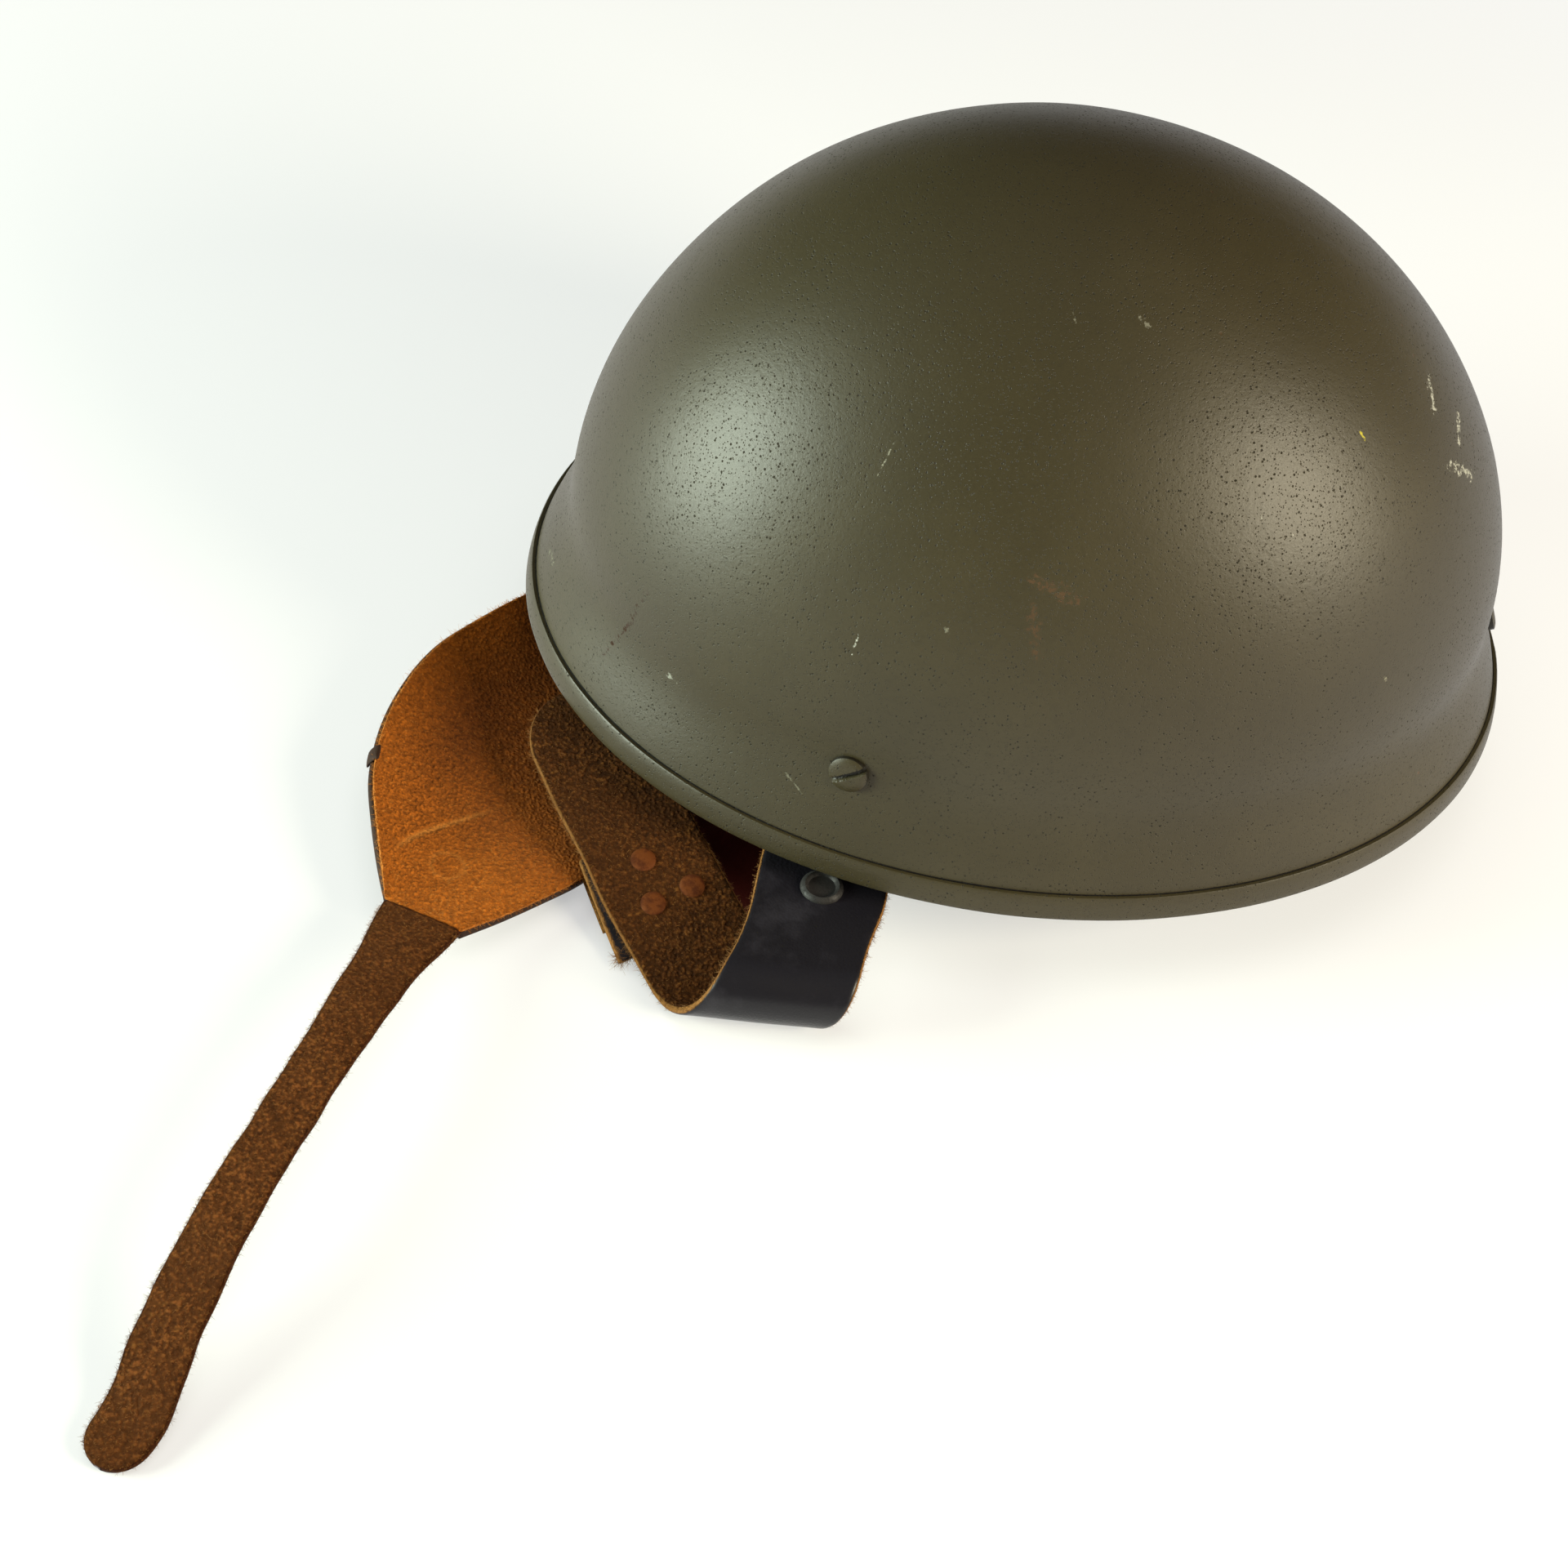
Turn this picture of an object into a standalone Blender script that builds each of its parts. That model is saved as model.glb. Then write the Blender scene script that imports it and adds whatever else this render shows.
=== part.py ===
"""A paratrooper helmet: a pressed steel shell over a fibre liner, with its leather harness laid out.

The brow points to -X, the nape to +X and the wearer's left to -Y. Sizes are in metres.
"""

import math

import bmesh
import bpy
import numpy as np
from mathutils import Matrix, Vector

# Fits
GAP = 0.0003
CLAMP_GAP = 0.0005
SEAM_GAP = 0.0006
OVERRUN = 0.002
MERGE_DISTANCE = 0.00001
NUDGE = 0.00001
NIB_SHARE = 0.12

# Steel shell: an oval dome on a flared skirt, its rim plane held above the table
BRIM_HALF_LENGTH = 0.1388
BRIM_HALF_WIDTH = 0.1118
FLARE_REACH = 0.0100
DOME_HALF_LENGTH = BRIM_HALF_LENGTH - FLARE_REACH
SHELL_HEIGHT = 0.1566
DOME_START = 0.0368
DOME_POWER = 1.79
FLARE_HEIGHT = 0.036
CROWN_LEAN = 0.0067
SHELL_WALL = 0.0015
RIM_HEIGHT = 0.026
RING_SHARES = (
    0.042, 0.084, 0.126, 0.168, 0.212, 0.27, 0.34, 0.42, 0.51, 0.60, 0.685, 0.765, 0.835, 0.895,
    0.944, 0.982,
)
SHELL_STEPS = 60

# Folded steel band round the shell's edge, and the black sealing strip above it
BAND_WALL = 0.0009
BAND_HEIGHT = 0.0082
BAND_CHAMFER = 0.0004
SEAL_HEIGHT = 0.0009
SEAL_DEPTH = 0.0007

# Harness screws: one at each temple and one at the nape
TEMPLE_ANGLE = math.radians(117.9)
TEMPLE_SCREW_HEIGHT = 0.0314
NAPE_SCREW_HEIGHT = 0.020
HEAD_RADIUS = 0.0052
HEAD_HEIGHT = 0.0018
HEAD_EDGE = 0.0006
HEAD_SEAT = 0.0006
SLOT_WIDTH = 0.0012
SLOT_DEPTH = 0.0009
SLOT_TURN = math.radians(12)
SHANK_RADIUS = 0.0020
SPACER_RADIUS = 0.0055
SPACER_WALL = 0.0010
PLATE_HALF_SIDE = 0.0085
PLATE_WALL = 0.0010
NUT_RADIUS = 0.0042
NUT_HEIGHT = 0.0030

# Leather, measured through its thickness
STRAP_THICKNESS = 0.0024
CUP_THICKNESS = 0.0022
LINING_THICKNESS = 0.0010
LINING_INSET = 0.0008
TAB_THICKNESS = 0.0012
CURTAIN_THICKNESS = 0.0025
SWEATBAND_THICKNESS = 0.0018

# Fibre liner band, the leather sweatband inside it and the leather curtain it stands on
LINER_END_SPACE = 0.0358
LINER_SIDE_SPACE = 0.0308
LINER_HALF_LENGTH = BRIM_HALF_LENGTH - LINER_END_SPACE
LINER_HALF_WIDTH = BRIM_HALF_WIDTH - LINER_SIDE_SPACE
LINER_WALL = 0.0020
LINER_FOOT = 0.006
LINER_TOP = 0.050
SWEATBAND_FOOT = 0.003
SWEATBAND_TOP = 0.034
CURTAIN_TOP = 0.017
CURTAIN_HALF_SWEEP = math.radians(108)
RIVET_POST_RADIUS = 0.0015
RIVET_HEAD_RADIUS = 0.0034
RIVET_HEAD_HEIGHT = 0.0008
RIVET_DOME_SHARE = 0.7
RIVET_SHOULDER_SHARE = 0.8
CURTAIN_RIVET_ANGLES = [math.radians(a) for a in (-84, -42, 0, 42, 84)]
CURTAIN_RIVET_HEIGHT = 0.011

# Rubber pads between the liner band and the shell, and the pad under the crown
PAD_ANGLES = [math.radians(a) for a in (38, 80, 154, 206, 280, 322)]
PAD_HALF_SWEEP = math.radians(11)
PAD_FOOT = 0.020
PAD_TOP = 0.044
PAD_CLEARANCE = 0.0006
PAD_SEAT = 0.0005
CROWN_PAD_RADIUS = 0.045
CROWN_PAD_RING_SHARES = (1.0, 0.75, 0.50, 0.25)
CROWN_PAD_DROP = 0.0206
CROWN_PAD_FACE = SHELL_HEIGHT - CROWN_PAD_DROP
CROWN_PAD_CLEARANCE = 0.0009

# Two webbing straps that cross over the head
CROWN_STRAP_WIDTH = 0.022
CROWN_STRAP_THICKNESS = 0.0012
CROWN_STRAP_FOOT = 0.037
CROWN_STRAP_SPACE = 0.0170
CROWN_STRAP_RISE = CROWN_PAD_FACE - CROWN_STRAP_SPACE - CROWN_STRAP_FOOT
CROWN_STRAP_CURVE = 0.8
CROWN_STRAP_CLEARANCE = 0.0010
CROWN_STRAP_SEAT = 0.0004

# Leather ear flap that hangs from the liner band and lies folded outwards on the table
EAR_FLAP_THICKNESS = 0.0020
EAR_FLAP_TOP = 0.012
EAR_FLAP_FOOT = 0.0020
EAR_FLAP_BEND = 0.0080
EAR_FLAP_RUN = 0.034
EAR_FLAP_X = -0.0635
EAR_FLAP_HALF_WIDTH = 0.0155
EAR_FLAP_DRIFT_SHARE = 0.25
EAR_FLAP_CLEARANCE = 0.0004
EAR_FLAP_STEP = 0.0030
EAR_FLAP_SLANT_SHARE = 1.25

# Left temple strap: down inside the shell, out under the rim, round a curl on the table and back
STRAP_WIDTH = 0.033
STRAP_TOP_HEIGHT = 0.043
WALL_TILT_SHARE = 1.03
SWERVE_ANGLE = math.radians(35)
SWERVE_LENGTH = 0.008
SLOPE_LENGTH = 0.014
RIM_BEND_RADIUS = 0.0070
STRAP_REACH = 0.0357
CURL_FOOT = 0.0015
CURL_OVERTURN = math.radians(18)
STRAP_RUN_OUT = 0.0009
RETURN_FLATTEN = math.radians(14)
STRAP_EXIT_SHIFT = 0.0003
STRAP_DRIFT = 0.0710
FOLLOW_RIM_LENGTH = 0.035
STRAP_OUTSIDE_LENGTH = 0.154
PROFILE_STEP = 0.0004
LEFT_DRIFT_SHARES = [
    (-0.30, 0.0), (-0.10, 0.0), (0.0, 0.007), (0.10, 0.045), (0.19, 0.092), (0.27, 0.145),
    (0.39, 0.296), (0.50, 0.458), (0.70, 0.711), (0.85, 0.880), (1.10, 1.150),
]

# Folded tab riveted under the strap's returned end, and its friction buckle
TAB_LENGTH = 0.029
TAB_END_SPACE = 0.042
TAB_BAR = STRAP_OUTSIDE_LENGTH - TAB_END_SPACE
TAB_START = TAB_BAR - TAB_LENGTH
TAB_FOLD_LENGTH = 0.020
TAB_STEP = 0.0012
TAB_TAPER_SHARE = 1.6
WIRE_RADIUS = 0.0010
FRAME_WIDTH = 0.024
FRAME_LENGTH = 0.021
FRAME_CORNER = 0.003
LOOP_WIDTH = 0.0165
GRIP_BAR_SHARE = 0.50
GRIP_BAR_WALL = 0.0006
GRIP_BAR_WIDTH = 0.0036
RIVET_PLACE_SHARES = [(0.653, -0.06), (0.218, -0.17), (0.430, 0.24)]

# Press stud on the left strap and its mate on the chin cup
STUD_DISTANCE = 0.0098
STUD_RING_RADIUS = 0.0058
STUD_RING_HEIGHT = 0.0011
STUD_CUP_RADIUS = 0.0040
STUD_CUP_DEPTH = 0.0006
STUD_BACK_HEIGHT = 0.0007
CUP_STUD_SHARES = (0.125, -0.09)
CUP_STUD_HEIGHT = 0.0022

# Chin cup: a leather bowl with a napped lining, on the strap from the right temple
CUP_SEAM_X = -0.1569
CUP_SEAM_Y = -0.1174
CUP_HEADING = math.atan2(0.925, 0.380)
CUP_LENGTH = 0.152
CUP_HALF_WIDTH = 0.042
CUP_RIM_HEIGHT = 0.0150
CUP_LEFT_SHARES = [
    (0.0, 0.27), (0.06, 0.44), (0.13, 0.62), (0.20, 0.78), (0.29, 0.91), (0.42, 1.0),
    (0.55, 0.98), (0.66, 0.86), (0.78, 0.70), (0.90, 0.50), (1.0, 0.40),
]
CUP_RIGHT_SHARES = [
    (0.0, 0.27), (0.07, 0.41), (0.15, 0.56), (0.23, 0.69), (0.36, 0.80), (0.52, 0.83),
    (0.66, 0.76), (0.80, 0.59), (0.90, 0.47), (1.0, 0.40),
]
# Heights of the left edge, the middle and the right edge, as shares of the cup's rim height
CUP_HEIGHT_SHARES = [
    (0.0, 0.60, 0.54, 0.53), (0.07, 0.80, 0.46, 0.40), (0.15, 0.92, 0.38, 0.30),
    (0.25, 0.98, 0.22, 0.17), (0.40, 1.0, 0.13, 0.15), (0.60, 1.0, 0.13, 0.15),
    (0.80, 0.80, 0.20, 0.20), (0.94, 0.44, 0.33, 0.33), (1.0, 0.36, 0.36, 0.36),
]

# Chin strap: from the cup's seam, arched over the table and down on its tip
CHIN_STRAP_WIDTH = 0.0162
CHIN_STRAP_REACH_X = 0.0561
CHIN_STRAP_REACH_Y = 0.1600
CHIN_STRAP_ARCH = 0.0170
CHIN_STRAP_SHARES = [
    (0.0, 0.0, 0.50), (0.085, 0.088, 0.74), (0.22, 0.222, 0.95), (0.376, 0.379, 1.03),
    (0.52, 0.53, 1.0), (0.635, 0.647, 0.93), (0.80, 0.80, 0.52), (0.94, 0.906, 0.16),
    (1.0, 1.0, 0.08),
]
CHIN_STRAP_FLARE_SHARES = [(0.0, 1.41), (0.06, 1.26), (0.13, 1.06), (0.22, 0.97), (1.0, 1.0)]
CHIN_STRAP_LEVEL_SHARE = 0.955
CHIN_STRAP_TIP_SHARES = [0.97, 0.982, 0.992, 1.0]
CHIN_STRAP_RUN_SHARE = 1.06
CUP_CROWDING_SHARE = 0.25

# Small steel clip on the chin cup's front edge
CLIP_LENGTH = 0.0044
CLIP_DEPTH = 0.0030
CLIP_BITE = 0.0016
CLIP_WALL = 0.0007
CLIP_CLEARANCE = 0.0007
CLIP_SHARE = 0.254

# Right temple strap: down inside the shell and in under the brow to the chin cup
RIGHT_TOP_LENGTH = 0.040
RIGHT_RIM_INSET = 0.0030
RIGHT_STRAP_SHARES = [
    (0.96, 0.90, 0.55), (0.85, 0.74, 0.27), (0.62, 0.56, 0.12), (0.36, 0.36, 0.05),
]
RIGHT_STRAP_LEAD = 0.014
RIGHT_FOOT_LENGTH = 0.002

PARTS = "paratrooper_helmet"
CUTTERS = "helmet_cutters"


def clear_scene():
    """Removes every object, so that the model starts from nothing."""
    for obj in list(bpy.data.objects):
        bpy.data.objects.remove(obj, do_unlink=True)


def collection(name):
    """The named collection, made on its first use."""
    found = bpy.data.collections.get(name)
    if found is None:
        found = bpy.data.collections.new(name)
        bpy.context.scene.collection.children.link(found)
    return found


def finish(name, color, roughness, metallic=0.0):
    """A plain Principled material."""
    material = bpy.data.materials.new(name)
    material.use_nodes = True
    shader = material.node_tree.nodes["Principled BSDF"]
    shader.inputs["Base Color"].default_value = (*color, 1.0)
    shader.inputs["Roughness"].default_value = roughness
    shader.inputs["Metallic"].default_value = metallic
    return material


def smooth_step(x):
    x = np.clip(x, 0.0, 1.0)
    return x * x * (3 - 2 * x)


def through(table, x):
    """A smooth curve through the rows of a table, read at x. The first column is what x follows."""
    table = np.array(table, float)
    knots, values = table[:, 0], table[:, 1:]
    slopes = np.gradient(values, knots, axis=0)
    x = np.clip(np.atleast_1d(x), knots[0], knots[-1])
    i = np.clip(np.searchsorted(knots, x) - 1, 0, len(knots) - 2)
    width = (knots[i + 1] - knots[i])[:, None]
    u = (x - knots[i])[:, None] / width
    rise = u * u * (3 - 2 * u)
    start = u * (1 - u) ** 2 * width
    end = u * u * (u - 1) * width
    return values[i] * (1 - rise) + values[i + 1] * rise + slopes[i] * start + slopes[i + 1] * end


def unit(v):
    return v / np.linalg.norm(v, axis=-1, keepdims=True)


# Surfaces of the shell

def shell_radius(z):
    """Half the length of the outer surface at a height above the rim."""
    climb = np.clip((z - DOME_START) / (SHELL_HEIGHT - DOME_START), 0.0, 1.0)
    dome = DOME_HALF_LENGTH * np.sqrt(1 - climb ** DOME_POWER)
    return dome + (BRIM_HALF_LENGTH - DOME_HALF_LENGTH) * smooth_step(1 - z / FLARE_HEIGHT)


def shell_surface(angle, z):
    """The oval outer surface, whose crown leans to the brow."""
    radius = shell_radius(z)
    x = radius * np.cos(angle) - CROWN_LEAN * (1 - radius / BRIM_HALF_LENGTH)
    y = radius * BRIM_HALF_WIDTH / BRIM_HALF_LENGTH * np.sin(angle)
    return np.stack(np.broadcast_arrays(x, y, z + RIM_HEIGHT), -1)


def shell_frame(angle, z):
    """A point of the outer surface, and its directions along the rim, up the wall and outwards."""
    angle, z = np.broadcast_arrays(np.asarray(angle, float), np.asarray(z, float))
    turn = NUDGE / BRIM_HALF_LENGTH
    along = unit(shell_surface(angle + turn, z) - shell_surface(angle - turn, z))
    up = unit(shell_surface(angle, z + NUDGE) - shell_surface(angle, z - NUDGE))
    return shell_surface(angle, z), along, up, unit(np.cross(along, up))


def shell_offset(angle, z, out):
    """A point at a distance out of the outer surface, or in from it where out is negative."""
    point, along, up, outward = shell_frame(angle, z)
    return point + outward * np.asarray(out, float)[..., None]


def oval_angle(direction):
    """The angle of the oval's formula at which it lies in a direction seen from above."""
    squash = BRIM_HALF_WIDTH / BRIM_HALF_LENGTH
    return math.atan2(math.sin(direction) / squash, math.cos(direction))


def liner_point(angle, z, out):
    """A point at a distance out of the liner band's outer face."""
    x = (LINER_HALF_LENGTH + out) * np.cos(angle)
    y = (LINER_HALF_WIDTH + out) * np.sin(angle)
    return np.stack(np.broadcast_arrays(x, y, z), -1)


# Meshes and objects

def new_object(name, vertices, faces, material):
    mesh = bpy.data.meshes.new(name)
    mesh.from_pydata([tuple(v) for v in np.reshape(vertices, (-1, 3))], [], faces)
    mesh.validate()
    obj = bpy.data.objects.new(name, mesh)
    obj.data.materials.append(material)
    collection(PARTS).objects.link(obj)
    return obj


def grid_faces(rows, columns, round_rows=False, round_columns=False):
    """Quads of a grid, which may close on itself either way."""
    faces = []
    for i in range(rows if round_rows else rows - 1):
        for j in range(columns if round_columns else columns - 1):
            a, b = i % rows, (i + 1) % rows
            c, d = j % columns, (j + 1) % columns
            faces.append((a * columns + c, a * columns + d, b * columns + d, b * columns + c))
    return faces


def thicken(obj, thickness, offset):
    """Gives an open sheet its wall: offset -1 grows it inwards, 0 both ways and 1 outwards."""
    modifier = obj.modifiers.new("wall", "SOLIDIFY")
    modifier.thickness = thickness
    modifier.offset = offset
    modifier.use_even_offset = True


def sheet(name, grid, thickness, material, offset=0.0, round_columns=False):
    """An open sheet through a grid of points, given a wall."""
    rows, columns = grid.shape[:2]
    obj = new_object(name, grid, grid_faces(rows, columns, False, round_columns), material)
    thicken(obj, thickness, offset)
    shade_smooth(obj)
    return obj


def outward_faces(obj):
    """Turns the faces of a closed body outwards."""
    work = bmesh.new()
    work.from_mesh(obj.data)
    bmesh.ops.recalc_face_normals(work, faces=work.faces)
    work.to_mesh(obj.data)
    work.free()


def loft(name, sections, material, ring):
    """A solid through closed sections: a ring that meets itself, or a bar with flat ends."""
    rows, columns = sections.shape[:2]
    faces = grid_faces(rows, columns, ring, True)
    if not ring:
        faces.append(tuple(range(columns))[::-1])
        faces.append(tuple(range((rows - 1) * columns, rows * columns)))
    obj = new_object(name, sections, faces, material)
    outward_faces(obj)
    shade_smooth(obj)
    return obj


def shade_smooth(obj, angle=math.radians(35)):
    obj.data.shade_smooth()
    obj.data.set_sharp_from_angle(angle=angle)


def turned(name, profile, material, steps=24):
    """A solid of revolution round Z. The profile runs down its outer side."""
    mesh = bpy.data.meshes.new(name)
    closed = profile[0][0] > 0 and profile[-1][0] > 0
    edges = [(i, i + 1) for i in range(len(profile) - 1)]
    if closed:
        edges.append((len(profile) - 1, 0))
    mesh.from_pydata([(x, 0.0, z) for x, z in profile], edges, [])
    obj = bpy.data.objects.new(name, mesh)
    obj.data.materials.append(material)
    collection(PARTS).objects.link(obj)
    screw = obj.modifiers.new("turn", "SCREW")
    screw.steps = screw.render_steps = steps
    screw.use_merge_vertices = True
    screw.merge_threshold = MERGE_DISTANCE
    screw.use_smooth_shade = True
    return obj


def adopt(obj, name, material):
    """Names a new primitive, gives it its material and moves it to the helmet's collection."""
    obj.name = name
    obj.data.materials.append(material)
    for owner in list(obj.users_collection):
        owner.objects.unlink(obj)
    collection(PARTS).objects.link(obj)
    return obj


def block(name, size, matrix, material):
    """A box of a size, centred on a placement."""
    bpy.ops.mesh.primitive_cube_add(size=1.0)
    obj = adopt(bpy.context.object, name, material)
    obj.data.transform(Matrix.Diagonal((*size, 1.0)))
    return place(obj, matrix)


def as_cutter(obj):
    """Keeps an object as a hidden cutter."""
    collection(PARTS).objects.unlink(obj)
    collection(CUTTERS).objects.link(obj)
    obj.hide_render = True
    obj.display_type = "WIRE"
    return obj


def cut(obj, cutter, operation="DIFFERENCE"):
    modifier = obj.modifiers.new(cutter.name, "BOOLEAN")
    modifier.operation = operation
    modifier.object = cutter
    modifier.solver = "EXACT"


def frame_matrix(point, side, outward):
    """A placement whose X is the side direction and whose Z points outwards."""
    z = Vector(outward).normalized()
    x = Vector(side)
    x = (x - x.project(z)).normalized()
    rotation = Matrix((x, z.cross(x), z)).transposed().to_4x4()
    return Matrix.Translation(Vector(point)) @ rotation


def place(obj, matrix):
    obj.matrix_world = matrix
    return obj


def hole_cutter(name, matrix, radius, reach):
    """A round cutter along the placement's Z, reach to either side of it."""
    profile = [(0.0, reach), (radius, reach), (radius, -reach), (0.0, -reach)]
    return as_cutter(place(turned(name, profile, MATERIALS["steel"], 16), matrix))


# The screws and what they clamp

def harness_places():
    """Placements on the shell's outer face, at the two temples and the nape."""
    places = {}
    spots = {
        "left": (-TEMPLE_ANGLE, TEMPLE_SCREW_HEIGHT),
        "right": (TEMPLE_ANGLE, TEMPLE_SCREW_HEIGHT),
        "nape": (0.0, NAPE_SCREW_HEIGHT),
    }
    for name, (direction, height) in spots.items():
        point, along, up, outward = shell_frame(oval_angle(direction), height)
        places[name] = frame_matrix(point, along, outward)
    return places


def clamp_depths():
    """How far in from the shell's outer face each clamped piece lies."""
    depths = {"spacer": SHELL_WALL + CLAMP_GAP}
    depths["leather"] = depths["spacer"] + SPACER_WALL + CLAMP_GAP
    depths["plate"] = depths["leather"] + STRAP_THICKNESS + CLAMP_GAP
    depths["nut"] = depths["plate"] + PLATE_WALL + GAP
    depths["end"] = depths["nut"] + NUT_HEIGHT + GAP
    return depths


def harness_screw(name, matrix):
    """A low domed slotted head on a shank that runs in through the clamped stack."""
    rise = HEAD_HEIGHT - HEAD_EDGE
    arc = [math.radians(a) for a in (90, 66, 44, 22, 0)]
    foot = HEAD_SEAT + HEAD_EDGE
    profile = [(HEAD_RADIUS * math.cos(a), foot + rise * math.sin(a)) for a in arc]
    profile[0] = (0.0, profile[0][1])
    profile += [(HEAD_RADIUS, HEAD_SEAT), (SHANK_RADIUS, HEAD_SEAT)]
    profile += [(SHANK_RADIUS, -clamp_depths()["end"]), (0.0, -clamp_depths()["end"])]
    screw = place(turned(name, profile, MATERIALS["olive"]), matrix)
    across = Matrix.Translation((0.0, 0.0, HEAD_SEAT + HEAD_HEIGHT)) @ Matrix.Rotation(SLOT_TURN, 4, "Z")
    size = (2 * HEAD_RADIUS + OVERRUN, SLOT_WIDTH, 2 * SLOT_DEPTH)
    cut(screw, as_cutter(block(name + "_slot", size, matrix @ across, MATERIALS["steel"])))
    return screw


def ring_profile(inner, outer, top, bottom):
    return [(outer, top), (outer, bottom), (inner, bottom), (inner, top)]


def clamped_pieces(places):
    """Spacers, plates and nuts, which lie on the shanks inside the shell."""
    depths = clamp_depths()
    bore = SHANK_RADIUS + GAP
    for name, matrix in places.items():
        top = -depths["spacer"]
        profile = ring_profile(bore, SPACER_RADIUS, top, top - SPACER_WALL)
        place(turned(name + "_spacer", profile, MATERIALS["steel"], 20), matrix)
        hole = hole_cutter(name + "_bore", matrix, bore, depths["end"] + OVERRUN)
        size = (2 * PLATE_HALF_SIDE, 2 * PLATE_HALF_SIDE, PLATE_WALL)
        inward = Matrix.Translation((0.0, 0.0, -depths["plate"] - PLATE_WALL / 2))
        cut(block(name + "_plate", size, matrix @ inward, MATERIALS["steel"]), hole)
        bpy.ops.mesh.primitive_cylinder_add(vertices=6, radius=NUT_RADIUS, depth=NUT_HEIGHT)
        nut = adopt(bpy.context.object, name + "_nut", MATERIALS["steel"])
        place(nut, matrix @ Matrix.Translation((0.0, 0.0, -depths["nut"] - NUT_HEIGHT / 2)))
        cut(nut, hole)


# Shell, band and seal

def band_heights():
    """Heights of the shell's rings inside the band: its edge, halfway and the band's top."""
    foot = BAND_WALL + GAP
    return np.array([foot, (foot + BAND_HEIGHT) / 2, BAND_HEIGHT])


def shell_piece(places):
    band = band_heights()
    heights = np.concatenate([band, band[-1] + (SHELL_HEIGHT - band[-1]) * np.array(RING_SHARES)])
    angles = np.linspace(0, 2 * math.pi, SHELL_STEPS, endpoint=False)
    grid = shell_surface(angles[None, :], heights[:, None])
    crown = [[-CROWN_LEAN, 0.0, SHELL_HEIGHT + RIM_HEIGHT]]
    faces = grid_faces(len(heights), SHELL_STEPS, False, True)
    top = len(heights) * SHELL_STEPS
    last = top - SHELL_STEPS
    faces += [(last + j, last + (j + 1) % SHELL_STEPS, top) for j in range(SHELL_STEPS)]
    obj = new_object("shell", np.vstack([grid.reshape(-1, 3), crown]), faces, MATERIALS["olive"])
    thicken(obj, SHELL_WALL, -1.0)
    shade_smooth(obj)
    for name, matrix in places.items():
        cut(obj, hole_cutter(name + "_shell_hole", matrix, SHANK_RADIUS + GAP, SPACER_RADIUS))


def rim_section(outlines, name, material):
    """A ring round the rim whose section is a list of (distance out of the shell, height)."""
    angles = np.linspace(0, 2 * math.pi, SHELL_STEPS, endpoint=False)
    out, height = np.array(outlines).T
    sections = shell_offset(angles[:, None], height[None, :], np.broadcast_to(out, (SHELL_STEPS, len(out))))
    return loft(name, sections, material, True)


def rim_pieces():
    outer = GAP + BAND_WALL
    inner = -(SHELL_WALL + GAP + BAND_WALL)
    half = band_heights()[1]
    band = [
        (outer, BAND_HEIGHT), (outer, half), (outer, BAND_CHAMFER), (outer - BAND_CHAMFER, 0.0),
        (inner + BAND_CHAMFER, 0.0), (inner, BAND_CHAMFER), (inner, half), (inner, BAND_HEIGHT),
        (inner + BAND_WALL, BAND_HEIGHT), (inner + BAND_WALL, half), (inner + BAND_WALL, BAND_WALL),
        (outer - BAND_WALL, BAND_WALL), (outer - BAND_WALL, half), (outer - BAND_WALL, BAND_HEIGHT),
    ]
    rim_section(band, "rim_band", MATERIALS["olive"])
    low, high = BAND_HEIGHT + GAP, BAND_HEIGHT + GAP + SEAL_HEIGHT
    seal = [(GAP + SEAL_DEPTH, high), (GAP + SEAL_DEPTH, low), (GAP, low), (GAP, high)]
    rim_section(seal, "rim_seal", MATERIALS["black_trim"])


# The liner

def band_sheet(name, foot, top, out, thickness, material, sweep=None, steps=48, rows=3):
    """A sheet that follows the liner band's oval, all round or over a sweep centred on the nape."""
    if sweep is None:
        angles = np.linspace(0, 2 * math.pi, steps, endpoint=False)
    else:
        angles = np.linspace(-sweep, sweep, steps)
    heights = np.linspace(foot, top, rows)
    grid = liner_point(angles[None, :], heights[:, None], out)
    return sheet(name, grid, thickness, material, -1.0, sweep is None)


def liner_pieces():
    band = band_sheet("liner_band", RIM_HEIGHT + LINER_FOOT, RIM_HEIGHT + LINER_TOP, 0.0, LINER_WALL,
                      MATERIALS["fibre"])
    sweat_out = -(LINER_WALL + RIVET_HEAD_HEIGHT + 2 * GAP)
    band_sheet("sweatband", RIM_HEIGHT + SWEATBAND_FOOT, RIM_HEIGHT + SWEATBAND_TOP, sweat_out,
               SWEATBAND_THICKNESS, MATERIALS["black_leather"])
    curtain = band_sheet("neck_curtain", 0.0, RIM_HEIGHT + CURTAIN_TOP, GAP + CURTAIN_THICKNESS,
                         CURTAIN_THICKNESS, MATERIALS["black_leather"], CURTAIN_HALF_SWEEP, 34, 4)
    stack = LINER_WALL + GAP + CURTAIN_THICKNESS
    for number, angle in enumerate(CURTAIN_RIVET_ANGLES, 1):
        point = liner_point(angle, RIM_HEIGHT + CURTAIN_RIVET_HEIGHT, GAP + CURTAIN_THICKNESS)
        outward = (LINER_HALF_WIDTH * math.cos(angle), LINER_HALF_LENGTH * math.sin(angle), 0.0)
        matrix = frame_matrix(point, (0.0, 0.0, 1.0), outward)
        name = f"curtain_rivet_{number}"
        hole = hole_cutter(name + "_hole", matrix, RIVET_POST_RADIUS + GAP, stack + OVERRUN)
        cut(band, hole)
        cut(curtain, hole)
        place(turned(name, rivet_profile(stack), MATERIALS["copper"], 12), matrix)


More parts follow.
